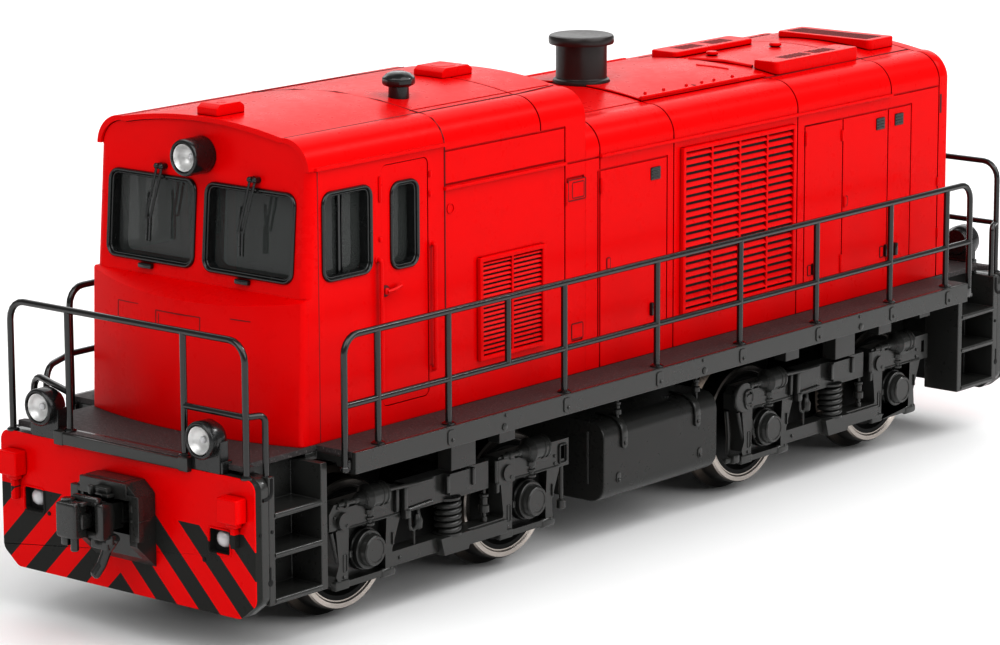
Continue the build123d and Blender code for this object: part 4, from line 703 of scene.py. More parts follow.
class LOCO_OT_grab_rails(bpy.types.Operator):
    """Red grab rails and handles at the cab doors"""
    bl_idname = "locomotive.grab_rails"
    bl_label = "Grab rails"

    def execute(self, context):
        thick = context.scene.locomotive_sizes.grab_radius / MM
        rails = []
        for x, low, high in ((37.7, 19.5, 31.5), (30.75, 20.9, 31.9)):
            rails.append(rod([(x, 12.3, low), (x, 12.86, low), (x, 12.86, high), (x, 12.3, high)], thick, 0.24))
            rails += [turned((x, 12.35, z), Y, ((0, 0.34), (0.10, 0.32), (0.16, 0.22)), 16) for z in (low, high)]
        # door lever on its rose
        rails += [turned((36.7, 12.3, 28.65), Y, ((0.1, 0.30), (0.34, 0.30), (0.42, 0.2)), 16),
                  rod([(36.75, 12.7, 28.62), (35.9, 12.74, 28.7), (35.0, 12.68, 28.9)], 0.16, 0.2, 10)]
        finished(mirrored(joined(rails)), "door_grab_rails", "grab_red", "grab_rails")
        return {"FINISHED"}


MARKER_Y = 9.5
HEADLAMP = ((-1.0, 1.50), (-0.3, 1.60), (1.95, 1.60), (2.14, 1.52), (2.20, 1.42), (2.20, 1.33), (2.08, 1.26),
            (0.8, 1.2))
HEADLAMP_DISH = ((0.9, 1.16), (2.02, 1.22), (2.10, 1.18), (2.06, 1.10), (1.62, 0.98), (1.30, 0.82),
                 (1.08, 0.60), (0.98, 0.36), (0.96, 0.12))
MARKER = ((-1.3, 1.25), (-0.7, 1.60), (0.62, 1.63), (0.78, 1.55), (0.84, 1.44), (0.83, 1.35), (0.72, 1.28),
          (-0.6, 1.22))
MARKER_DISH = ((-0.1, 1.16), (0.66, 1.24), (0.74, 1.20), (0.70, 1.12), (0.46, 1.02), (0.28, 0.84), (0.17, 0.60),
               (0.12, 0.34), (0.10, 0.12))


class LOCO_OT_lamps(bpy.types.Operator):
    """Headlights and marker lamps with their bright reflectors"""
    bl_idname = "locomotive.lamps"
    bl_label = "Lamps"

    def execute(self, context):
        shells, dishes, bulbs = [], [], []
        for centre, end in (((46.1, 0, 40.3), 1), ((HOOD_REAR, 0, 37.55), -1)):
            shells.append(turned(centre, X * end, HEADLAMP, 48))
            dishes.append(turned(centre, X * end, HEADLAMP_DISH, 40))
            bulbs.append(turned(centre, X * end, ((0.95, 0.26), (1.20, 0.26), (1.34, 0.17), (1.38, 0.05)), 14))
        finished(joined(shells), "headlight_shells", "lamp_black", "headlights")
        markers = []
        for end in (1, -1):
            for side in (1, -1):
                y = side * MARKER_Y
                centre = (end * PLATE_X, y, 18.9)
                markers.append(turned(centre, X * end, MARKER, 44))
                dishes.append(turned(centre, X * end, MARKER_DISH, 36))
                bulbs.append(turned(centre, X * end, ((0.05, 0.30), (0.28, 0.30), (0.42, 0.20), (0.46, 0.06)), 16))
                markers.append(end_block(end, (54.9, y - 1.66, 16.1), (56.0, y + 1.66, 18.9), 0.12))
                markers.append(end_block(end, (54.7, y - 1.9, 16.1), (55.9, y + 1.9, 17.2), 0.12))
        finished(joined(markers), "marker_lamp_shells", "lamp_black", "marker_lamps")
        finished(joined(dishes), "lamp_reflectors", "reflector", slot="lamp_black", smooth=60)
        finished(joined(bulbs), "lamp_bulbs", "bulb", slot="lamp_black", smooth=60)
        return {"FINISHED"}


# wipers: pivot y, foot y of the arms, blade y
WIPERS = ((-4.6, -5.5, -5.6), (6.3, 5.4, 5.3))


class LOCO_OT_wipers(bpy.types.Operator):
    """Twin-arm wipers on their pivot blocks"""
    bl_idname = "locomotive.wipers"
    bl_label = "Wipers"

    def execute(self, context):
        def at(y, z, out):
            return screen_x(z) + out, y, z

        made = []
        for pivot, foot, blade in WIPERS:
            made.append(placed(plate(0.95, 0.42, 0.5, 0.15, 0.08), "screen", at(pivot, 38.8, 0.0)))
            for shift in (-0.3, 0.3):
                made.append(placed(turned((0, 0, 0), Z, ((0, 0.25), (0.62, 0.25), (0.75, 0.14)), 14), "screen",
                                   at(pivot + shift, 38.85, 0.0)))
                arm = blade + shift * 0.6
                made.append(rod([at(pivot + shift, 38.7, 0.52), at(foot + shift * 0.85, 34.35, 0.72)], 0.115,
                                sides=8))
                made.append(rod([at(arm, 34.7, 0.50), at(arm + 0.05, 32.35, 0.52)], 0.12, sides=8))
            made.append(rod([at(blade - 0.18, 36.55, 0.45), at(blade - 0.1, 34.4, 0.65)], 0.13, sides=8))
            made.append(placed(plate(0.62, 0.26, 0.2, 0.1, 0.05), "screen", at(blade + 0.02, 34.45, 0.5)))
        finished(joined(made), "wiper_set", "lamp_black", "wipers")
        return {"FINISHED"}


# side windows: middle x and z, width, height, wall
SIDE_WINDOWS = ((41.525, 34.35, 5.65, 7.10, BODY_Y), (34.185, 34.075, 3.05, 7.05, BODY_Y - 0.05))


def window_seal(width, height):
    """Rubber seal round an opening: proud bead, inner step and deep reveal."""
    seal = [hoop(width + 0.30, height + 0.30, 0.92, 0.34, 0.42),
            hoop(width - 0.16, height - 0.16, 0.72, 0.22, 0.34),
            hoop(width - 0.06, height - 0.06, 0.76, 0.16, 1.15, sides=8)]
    seal[1].data.transform(Matrix.Translation(Z * -0.16 * MM))
    seal[2].data.transform(Matrix.Translation(Z * -0.62 * MM))
    return joined(seal)


class LOCO_OT_windows(bpy.types.Operator):
    """Rubber window seals with their deep reveals and the sliding panes"""
    bl_idname = "locomotive.windows"
    bl_label = "Windows"

    def execute(self, context):
        made = [placed(window_seal(9.85, 7.12), "screen", (screen_x(34.3) + 0.06, side * 5.725, 34.3))
                for side in (1, -1)]
        made += [placed(plate(1.55, 0.42, 0.40, 0.1, 0.08), "screen", (screen_x(30.1), y, 30.1))
                 for y in (-6.1, 5.3)]
        for x, z, width, height, y in SIDE_WINDOWS:
            for wall, side in SIDES:
                made.append(placed(window_seal(width, height), wall, (x, side * (y + 0.05), z)))
        # upright bar between the sliding panes, and the guide at its foot
        for side in (1, -1):
            for x, y, wide in ((41.75, 11.62, 0.15), (41.35, 11.58, 0.08)):
                made.append(block((x - wide, side * y - 0.14, 30.8), (x + wide, side * y + 0.14, 37.9), 0.05))
        finished(joined(made), "window_seals", "window_rubber", "window_frames")
        return {"FINISHED"}


GRILLES = ((-22.10, -4.35, 19.90, 35.60, 4, 21), (15.65, 24.70, 20.45, 29.70, 2, 20))
GRILLE_RIM = 0.45


class LOCO_OT_grilles(bpy.types.Operator):
    """Louvred grilles: framed columns of leaning slats over a near-black back, painted shade standing for the depth
    behind them
    """
    bl_idname = "locomotive.grilles"
    bl_label = "Grilles"

    def execute(self, context):
        red, dark = [], []
        for x0, x1, z0, z1, columns, slats in GRILLES:
            middle, height = (x0 + x1) / 2, (z0 + z1) / 2
            step = (x1 - x0 - GRILLE_RIM) / columns
            pitch = (z1 - z0 - 2 * GRILLE_RIM) / slats
            for x in (x0, x1 - GRILLE_RIM):
                red.append(block((x, 12.3, z0), (x + GRILLE_RIM, 12.82, z1), 0.10))
            for z in (z0, z1 - GRILLE_RIM):
                red.append(block((x0 + 0.05, 12.3, z), (x1 - 0.05, 12.80, z + GRILLE_RIM), 0.10))
            for column in range(1, columns):
                x = x0 + GRILLE_RIM / 2 + column * step
                red.append(block((x - 0.14, 12.3, z0 + 0.1), (x + 0.14, 12.74, z1 - 0.1), 0.05, 1))
            # one leaning slat, repeated up the frame
            slat = block((x0 + 0.3, -0.055, -0.36 * pitch), (x1 - 0.3, 0.055, 0.36 * pitch), 0.045, 1)
            lean = Matrix.Translation(Vector((0, 12.56, z0 + GRILLE_RIM + pitch * 0.55)) * MM) @ Matrix.Rotation(
                math.radians(38), 4, "X")
            slat.data.transform(lean)
            red.append(repeated(slat, [(0, 0, pitch * place) for place in range(slats)]))
            # near-black sheet behind the slats: painted shade
            dark.append(block((x0 + 0.2, 12.2, z0 + 0.2), (x1 - 0.2, 12.43, z1 - 0.2), 0.02, 1))
        finished(mirrored(joined(red)), "grille_slats", "body_red", "louvre_grilles", smooth=30)
        finished(mirrored(joined(dark)), "grille_shade_backs", "near_black_and_painted_shade", slot="lamp_black")
        return {"FINISHED"}


STACK = ((-0.8, 2.50), (0.0, 2.68), (0.12, 2.70), (0.34, 2.64), (0.46, 2.46), (0.60, 2.40), (3.62, 2.40),
         (3.70, 3.00), (3.84, 3.07), (4.30, 3.07), (4.47, 2.98), (4.55, 2.78), (4.52, 2.50), (4.46, 1.60),
         (4.44, 0.40))
# slots in the tops of the roof louvres: middle x, y, z, length along y, count
ROOF_SLOTS = ((-29.2, 7.35, 40.94, 1.5, 11), (-33.6, 7.35, 40.94, 1.5, 9),
              (-27.6, -4.4, 40.94, 1.7, 9), (-32.4, -4.4, 40.94, 1.7, 9))
VENT_CAP = ((0.72, 1.20), (0.95, 1.46), (1.45, 1.46), (1.85, 1.05), (2.0, 0.6))
KNOB = ((-0.2, 0.45), (0.1, 0.40), (0.35, 0.30), (0.55, 0.32), (0.72, 0.60), (0.88, 0.62), (1.0, 0.50))


class LOCO_OT_roof_fittings(bpy.types.Operator):
    """Exhaust stack, roof vent, knobs, louvre slats and hatch bolts"""
    bl_idname = "locomotive.roof_fittings"
    bl_label = "Roof fittings"

    def execute(self, context):
        finished(turned((-5.2, 0, LOW_CROWN), Z, STACK, 64), "stack", "stack_black", "exhaust_stack",
                 slot="lamp_black", smooth=32)
        vent = [turned((26.41, 5.0, HIGH_CROWN), Z, ((-0.6, 0.90), (-0.2, 0.92), (1.0, 0.88)), 28),
                turned((26.41, 5.0, HIGH_CROWN), Z, VENT_CAP, 8, round_by=0.08)]
        finished(joined(vent), "vent", "lamp_black", "roof_vent")
        trim = [turned((x, y, LOW_CROWN - 0.6), Z, KNOB, 16) for x, y in ((-35.6, 0.3), (-26.9, -1.0))]
        trim.append(dotted(stud(0.15, 0.22), "top",
                           [(x, 7.45, 40.0) for x in (-5.4, -8.2, -11.7, -14.1, -16.0, -18.9)]))
        # round covers on the high hood and the cab
        trim.append(turned((15.05, 0.3, HIGH_CROWN + 0.82), Z,
                           ((0, 1.15), (0.06, 1.12), (0.07, 0.95), (0.05, 0.9)), 32))
        trim.append(turned((43.7, 0.15, HIGH_CROWN + 0.92), Z,
                           ((0, 0.55), (0.05, 0.52), (0.06, 0.4), (0.04, 0.35)), 24))
        # raised edges of the hatch and of the sheet behind it
        trim.append(block((-18.5, 8.38, 39.9), (-3.4, 8.66, 40.14), 0.06))
        trim.append(rod([(-18.5, 8.5, 40.0), (-22.0, 8.5, 39.98)], 0.09, sides=8))
        trim.append(rod([(-22.6, -0.6, 40.62), (-24.0, 2.6, 40.52), (-24.6, 5.6, 40.2)], 0.17, 1.0, 8))
        trim.append(rod([(-20.0, 2.3, 40.58), (-20.7, 4.1, 40.45), (-21.0, 5.4, 40.32)], 0.10, 1.0, 8))
        trim += [turned((x, y, z), Z, ((0, 0.42), (0.06, 0.40), (0.14, 0.22)), 14)
                 for x, y, z in ((-35.6, 0.3, LOW_CROWN - 0.3), (-26.9, -1.0, LOW_CROWN - 0.32))]
        finished(joined(trim), "roof_trim", "body_red")
        slots = []
        for x, y, z, length, count in ROOF_SLOTS:
            first = x + 0.19 * count
            slot = block((first, y - length / 2, z - 0.1), (first + 0.2, y + length / 2, z + 0.03), 0.02, 1)
            slots.append(repeated(slot, [(-0.38 * place, 0.1 * (place % 2), 0) for place in range(count)]))
        slot = block((-43.0, -3.4, 40.8), (-42.75, 6.4, 40.98), 0.03, 1)
        slots.append(repeated(slot, [(-0.45 * place, 0, 0) for place in range(6)]))
        finished(joined(slots), "roof_slots", "joint_red", slot="body_red")
        return {"FINISHED"}


# red hinges and black latches on the hood sides: x, low z, high z
HINGES = ((-24.15, 33.2, 34.5), (-30.1, 32.9, 34.0), (-30.65, 26.3, 27.4), (-30.1, 19.9, 21.7), (12.35, 32.6, 34.6),
          (7.35, 33.0, 34.3), (-46.75, 26.2, 27.1), (-46.9, 20.9, 21.9), (37.35, 36.4, 38.6), (37.35, 33.0, 33.4),
          (30.9, 37.7, 38.2), (30.9, 36.0, 36.5))
LATCHES = ((-0.07, 20.55, 21.75), (-25.48, 20.4, 21.5), (-37.75, 20.35, 21.55), (-39.4, 20.25, 21.5))
# outlined plates: x and z of the middle, width, height
OUTLINES = ((10.85, 33.84, 2.45, 1.9), (10.68, 33.8, 1.65, 1.42), (10.8, 20.9, 1.6, 1.4), (-24.9, 20.9, 0.55, 1.0),
            (-37.1, 20.9, 0.55, 1.1), (6.3, 26.4, 0.5, 1.0), (-30.9, 26.9, 0.5, 0.9))
# rear edge of the cab, from the walkway up to the middle of the roof: y, z
CAB_OUTLINE = ((12.42, 17.0), (12.42, 39.9), (12.3, 40.8), (11.9, 41.6), (11.1, 42.33), (10.0, 42.68), (9.0, 42.76),
               (5.0, 43.34), (0.0, 43.6))
VENTS = ((-0.6, 33.75), (-36.6, 33.8), (-39.8, 33.85))
# engraved lines on the curved nose: x, y, z along each
NOSE_LINES = (
    ((48.98, -2.85, 27.0), (49.13, 0.0, 27.02), (49.0, 2.36, 27.03), (49.04, 2.36, 25.78), (49.15, 0.0, 25.75),
     (49.01, -2.85, 25.72), (48.98, -2.85, 27.0)),
    ((48.99, -2.5, 26.75), (49.02, -2.5, 25.95)),
    ((48.28, -8.1, 25.7), (48.22, -8.1, 27.1), (48.5, -6.6, 27.15), (48.7, -5.2, 27.2)),
    ((48.67, 5.6, 27.28), (48.50, 6.7, 27.26), (48.32, 7.6, 27.24)),
)


class LOCO_OT_hood_fittings(bpy.types.Operator):
    """Hinges, latches, vents and joint lines of the hoods and the cab"""
    bl_idname = "locomotive.hood_fittings"
    bl_label = "Hood fittings"

    def execute(self, context):
        red = [turned((x, 12.42, low), Z,
                      ((0, 0.13), (0.06, 0.17), (high - low - 0.06, 0.17), (high - low, 0.13)), 10)
               for x, low, high in HINGES]
        red += [placed(plate(width - 0.1, height - 0.1, 0.12 - 0.02 * width, 0.06, 0.02), "left", (x, 12.36, z))
                for x, z, width, height in OUTLINES]
        red.append(placed(hoop(0.86, 0.86, 0.42, 0.14, 0.2, sides=8), "left", (28.2, 12.4, 34.56)))
        finished(mirrored(joined(red)), "hood_hinges", "body_red")
        black = [block((x - 0.22, 12.3, low), (x + 0.22, 12.72, high), 0.08) for x, low, high in LATCHES]
        black += [block((x - 0.70, 12.3, z - 0.58), (x + 0.70, 12.50, z + 0.58), 0.04) for x, z in VENTS]
        slat = block((-0.55, 12.3, -0.45), (0.55, 12.56, -0.31), 0.03, 1)
        black.append(repeated(slat, [(x, 0, z + step * 0.3) for x, z in VENTS for step in range(4)]))
        finished(mirrored(joined(black)), "hood_latches", "lamp_black")
        # fine dark joints: corner posts of the cab, outlines on the hatches, edge of the roof sheets
        lines = [block((45.05, 12.38, 17.0), (45.12, 12.42, 40.1), 0.01, 1),
                 block((-47.3, 12.3, 33.55), (-46.98, 12.43, 35.45), 0.02, 1),
                 # dark disc round the door lever's rose: painted shade
                 turned((36.7, 12.3, 28.65), Y, ((0, 0.50), (0.14, 0.50), (0.18, 0.42)), 20),
                 rod([(46.05, 9.6, 42.69), (29.0, 9.5, 42.70)], 0.055, sides=6),
                 rod([(28.95, y, z) for y, z in CAB_OUTLINE], 0.06, sides=6),
                 rod([(29.0, 9.5, 42.72), (15.95, 9.4, 42.73)], 0.055, sides=6),
                 rod([(15.9, 9.4, 42.71), (9.9, 8.9, 42.775)], 0.055, sides=6),
                 rod([(-22.0, 8.9, 39.63), (-46.8, 8.6, 39.69)], 0.05, sides=6)]
        for x, z, width, height in OUTLINES:
            lines.append(placed(hoop(width, height, 0.08, 0.09, 0.06, sides=6, steps=1), "left", (x, 12.44, z)))
        lines = [mirrored(joined(lines))]
        lines += [rod(points, 0.045, 0.01, 6, 2) for points in NOSE_LINES]
        lines.append(block((-12.55, -8.0, 40.0), (-12.45, 8.0, 40.06), 0.01, 1))
        finished(joined(lines), "joint_lines", "joint_red", slot="body_red")
        return {"FINISHED"}


WINDOW_Y = 11.0         # lamp windows in the end plates
WINDOW_BULB = ((-0.3, 0.3), (-0.1, 0.62), (0.3, 0.80), (0.6, 0.62), (0.75, 0.25))


class LOCO_OT_end_plates(bpy.types.Operator):
    """Striped end plates with socket covers, lamp windows and bolts"""
    bl_idname = "locomotive.end_plates"
    bl_label = "End plates"

    def execute(self, context):
        for name, end in ENDS:
            plain = softened(f"end_plate_{name}", 0.08)
            parts = []
            for side in (1, -1):
                # socket cover, its throat and its tail
                y = side * 13
                low, high = sorted((end * 55.9, end * 57.3))
                parts.append(block((low, y - 1.14, 12.52), (high + end * 0.03, y + 1.14, 14.64), 0.16, 3))
                low, high = sorted((end * 55.9, end * 56.75))
                parts.append(block((low, y - 0.62, 12.05), (high, y + 0.62, 12.7), 0.12))
                parts.append(block((low, y - 0.26, 10.25), (high - (0.1 if end > 0 else 0), y + 0.26, 12.4), 0.12))
                parts.append(placed(hoop(2.5, 2.2, 0.3, 0.22, 0.24, sides=8), name,
                                    (end * PLATE_X, side * WINDOW_Y, 10.45)))
            finished(joined([plain] + parts), f"end_plate_{name}_trimmed", "end_red", f"end_plate_{name}",
                     slot="body_red")
            dark = [dotted(stud(0.19, 0.1), name, [(end * PLATE_X, -9.2, 9.5), (end * PLATE_X, 9.2, 8.6)])]
            for side in (1, -1):
                # bolts and the slotted groove on the ends of the beam
                wall = "left" if side > 0 else "right"
                dark.append(dotted(stud(0.15, 0.1), wall,
                                   [(end * x, side * 15, 11.5) for x in (55.35, 53.95)]))
                y = side * 14.98
                dark.append(rod([(end * BEAM_X, y, 16.0), (end * BEAM_X, y, 14.4), (end * 55.0, y, 14.35)],
                                0.16, 0.6, 10))
                dark.append(placed(plate(0.16, 1.3, 0.06, 0.07, 0.01), wall, (end * 54.2, y, 7.9)))
                dark.append(placed(stud(0.3, 0.06), wall, (end * 54.2, y, 7.2)))
                # near-black box behind each lamp window: painted shade in its depth
                y = side * WINDOW_Y
                dark.append(end_block(end, (53.9, y - 1.25, 9.3), (55.3, y + 1.25, 11.6), 0.05))
            finished(joined(dark), f"beam_fixings_{name}", "near_black_and_painted_shade", slot="frame_black")
            edge = [end_block(end, (54.6, -7.85, 15.98), (56.45, 7.8, 16.98), 0.10)]
            edge += [end_block(end, (54.7, y, 15.9), (56.5, y + 1.1, 17.12), 0.10) for y in (-7.95, 6.8)]
            finished(joined(edge), f"deck_edge_{name}", "frame_black")
        bulb = [turned((end * 55.1, side * WINDOW_Y, 10.6), X * end, WINDOW_BULB, 24)
                for end in (1, -1) for side in (1, -1)]
        finished(joined(bulb), "window_bulbs", "bulb", slot="lamp_black", smooth=60)
        return {"FINISHED"}


# coupler head and shank as boxes: low and high corner, rounding; +X end, turned half round for the other
COUPLER = (((59.6, 1.45, 10.0), (61.05, 2.38, 13.05), 0.22), ((60.1, -1.45, 12.75), (61.0, 1.7, 13.5), 0.30),
           ((60.1, -1.4, 9.95), (61.0, 2.3, 10.6), 0.15), ((59.7, -1.3, 10.2), (60.35, 1.6, 13.1), 0.12),
           ((60.95, -1.72, 10.05), (62.5, 0.62, 13.15), 0.30), ((60.7, 0.3, 12.9), (61.9, 0.95, 13.2), 0.10),
           ((60.7, 0.45, 10.9), (61.9, 0.9, 12.2), 0.15), ((57.4, -0.95, 10.3), (60.0, 1.3, 12.65), 0.14),
           ((55.6, -1.0, 10.7), (57.6, 1.4, 12.5), 0.12), ((59.4, 1.2, 10.7), (60.2, 2.3, 12.4), 0.18),
           ((59.2, 0.1, 8.95), (60.2, 2.05, 10.15), 0.12), ((59.4, 1.2, 9.5), (60.2, 2.6, 10.35), 0.12),
           ((61.2, -1.62, 9.3), (62.0, -0.8, 10.2), 0.12))
POCKET_LIPS = (((57.8, 3.12, 9.6), (58.42, 4.02, 13.5), 0.07), ((57.8, -4.02, 9.6), (58.42, -3.12, 13.5), 0.07),
               ((57.8, -2.9, 13.0), (58.42, 2.6, 14.4), 0.07), ((57.9, 2.2, 13.0), (58.4, 4.0, 13.5), 0.07),
               ((57.9, -4.0, 13.0), (58.4, -2.5, 13.5), 0.07), ((58.2, -0.7, 13.35), (59.1, 1.0, 13.95), 0.10),
               ((58.9, -1.05, 13.2), (59.3, -0.5, 14.0), 0.10), ((58.3, 0.5, 13.15), (59.3, 1.3, 13.45), 0.10),
               ((57.0, 3.95, 11.3), (58.3, 4.1, 11.45), 0.03), ((57.9, 3.0, 12.1), (58.48, 3.3, 12.7), 0.05),
               ((57.9, 3.0, 11.2), (58.48, 3.3, 11.5), 0.05), ((56.2, -2.8, 13.7), (57.9, 1.9, 14.45), 0.12))


def boxes(rows, end):
    """The boxes of a table of low and high corners, at one end."""
    made = joined([block(low, high, round_by) for low, high, round_by in rows])
    return moved_to(made, end)


def moved_to(obj, end):
    """obj as it is at the front, or turned half round for the rear."""
    obj.rotation_euler = (0, 0, 0 if end > 0 else math.pi)
    alone(obj)
    return settled()


class LOCO_OT_coupling(bpy.types.Operator):
    """Knuckle couplers with their trip pins, and the lips of their pockets"""
    bl_idname = "locomotive.coupling"
    bl_label = "Couplers"

    def execute(self, context):
        for name, end in ENDS:
            rounds = [rod([(59.6, 2.45, 10.1), (59.6, 1.45, 8.9), (59.9, 1.05, 7.6), (60.4, 0.75, 6.75)],
                          0.44, 0.9, 16),
                      turned((60.35, 0.78, 6.85), (0.8, -0.3, -0.75), ((0, 0.44), (0.2, 0.40), (0.34, 0.24)), 16),
                      turned((61.6, -0.35, 8.85), Z, ((0, 0.26), (0.1, 0.36), (1.3, 0.36)), 16),
                      turned((61.5, -1.1, 13.1), Z, ((0, 0.62), (0.14, 0.62), (0.22, 0.5)), 18),
                      turned((61.2, 0.35, 11.2), X, ((-0.3, 0.42), (0.25, 0.42), (0.35, 0.3)), 14)]
            head = joined([boxes(COUPLER, 1)] + rounds)
            finished(moved_to(head, end), f"coupler_{name}_made", "coupler_black", f"coupler_{name}",
                     body=f"coupler_{name}")
            finished(boxes(POCKET_LIPS, end), f"pocket_lips_{name}", "frame_black")
        return {"FINISHED"}


TREADS = (5.2, 9.1, 12.5)
PIPE_JOINT = ((0, 0.25), (0.08, 0.36), (0.5, 0.36), (0.62, 0.2), (0.9, 0.2), (1.0, 0.3), (1.2, 0.3))
STRAP_X = (4.8, -6.25)


class LOCO_OT_frame_fittings(bpy.types.Operator):
    """Step nosings, sill brackets, bolts and small pipes, and the tank with its straps"""
    bl_idname = "locomotive.frame_fittings"
    bl_label = "Frame fittings"

    def execute(self, context):
        made = []
        # a rounded nosing on each tread
        for end in (1, -1):
            for z in TREADS:
                low, high = sorted((end * 47.9, end * 53.6))
                made.append(rod([(low, 14.85, z + 0.32), (high, 14.85, z + 0.32)], 0.24, sides=12))
        brackets = placed(plate(0.95, 1.35, 0.14, 0.3, 0.05), "left", (0, 16.97, 16.0))
        pair = placed(stud(0.17, 0.14), "left", (-0.1, 17.1, 15.75))
        made.append(repeated(joined([brackets, pair]), [(x + 0.6, 0, 0) for x in SILL_POSTS[1:]]))
        made.append(dotted(stud(0.17, 0.12), "left", [(x, 17.0, 16.6) for x in (26.3, -2.0, -27.0)]))
        made.append(dotted(stud(0.33, 0.14), "left", [(x, 17.0, 15.6) for x in (26.5, -2.2, -27.2)]))
        # lower tank fixings, end beads and pipes up to the sill
        made.append(dotted(plate(0.62, 1.0, 0.12, 0.28, 0.04), "left", [(5.5, 12.97, 6.35), (-6.8, 12.97, 6.35)]))
        made.append(dotted(stud(0.2, 0.22), "left", [(5.5, 13.05, 6.1), (-6.8, 13.05, 6.1)]))
        for x in (4.75, -7.15):
            made.append(rod([(x, 12.3, 11.3), (x, 12.3, 14.9)], 0.14, sides=8))
            made.append(turned((x, 12.3, 12.0), Z, PIPE_JOINT, 12))
        made.append(rod([(7.72, 11.2, 5.9), (7.72, 11.2, 10.8)], 0.10, sides=8))
        finished(mirrored(joined(made)), "frame_fittings", "frame_black")
        tank = [placed(plate(26.0, 7.6, 17.2, 1.6, 0.22), "front", (-9.55, 0, 8.0)),
                block((-5.5, -5.5, 11.0), (3.6, 5.5, 14.2), 0.1)]
        finished(joined(tank), "tank_shell", "tank_black", "fuel_tank", slot="frame_black")
        straps = softened("tank_straps", 0.05)
        with editing(straps):
            bpy.ops.mesh.bisect(plane_co=Z * 9.75 * MM, plane_no=Z, clear_inner=True, use_fill=True)
        ends = [placed(plate(0.8, 1.1, 0.26, 0.38, 0.05), wall, (x, side * 13.0, 9.55))
                for x in STRAP_X for wall, side in SIDES]
        bolts = [placed(stud(0.2, 0.16), wall, (x, side * 13.25, 9.5))
                 for x in STRAP_X for wall, side in SIDES]
        finished(joined([straps] + ends + bolts), "tank_strap_bands", "frame_black", "tank_straps")
        return {"FINISHED"}


AXLE_BOX = ((-0.2, 1.88), (0.42, 1.88), (0.52, 1.82), (0.52, 1.74), (0.98, 1.72), (1.06, 1.64), (1.06, 1.46),
            (1.34, 1.42), (1.44, 1.36), (1.66, 1.32), (1.76, 1.22), (1.75, 1.02), (1.68, 0.98), (1.68, 0.3))
CYLINDER = ((-1.92, 0.55), (-1.90, 0.96), (-1.80, 1.07), (-1.62, 1.07), (-1.56, 0.98), (-1.26, 1.00),
            (-1.20, 1.09), (-1.04, 1.09), (-0.98, 1.00), (0.02, 1.00), (0.08, 1.12), (0.30, 1.12), (0.38, 1.00),
            (0.52, 0.90), (0.66, 0.66))
BELLOWS = ((0.6, 0.66), (0.78, 0.70), (0.9, 0.48), (1.02, 0.64), (1.14, 0.44), (1.28, 0.58), (1.42, 0.36),
           (1.8, 0.34), (1.9, 0.26), (2.7, 0.24), (2.78, 0.40), (3.1, 0.40), (3.2, 0.24), (3.9, 0.22))
SPRING_SEAT = ((0, 0.38), (0.1, 0.52), (0.28, 0.52), (0.34, 0.30), (0.52, 0.30), (0.6, 0.46), (0.8, 0.46),
               (0.86, 0.30), (1.05, 0.30), (1.12, 0.52), (1.5, 0.52))
DAMPER = ((0, 0.30), (0.5, 0.30), (0.6, 0.20), (0.9, 0.20), (1.0, 0.50), (1.6, 0.50), (1.7, 0.34), (2.3, 0.34),
          (2.4, 0.44), (2.6, 0.44), (2.7, 0.18), (4.2, 0.18))


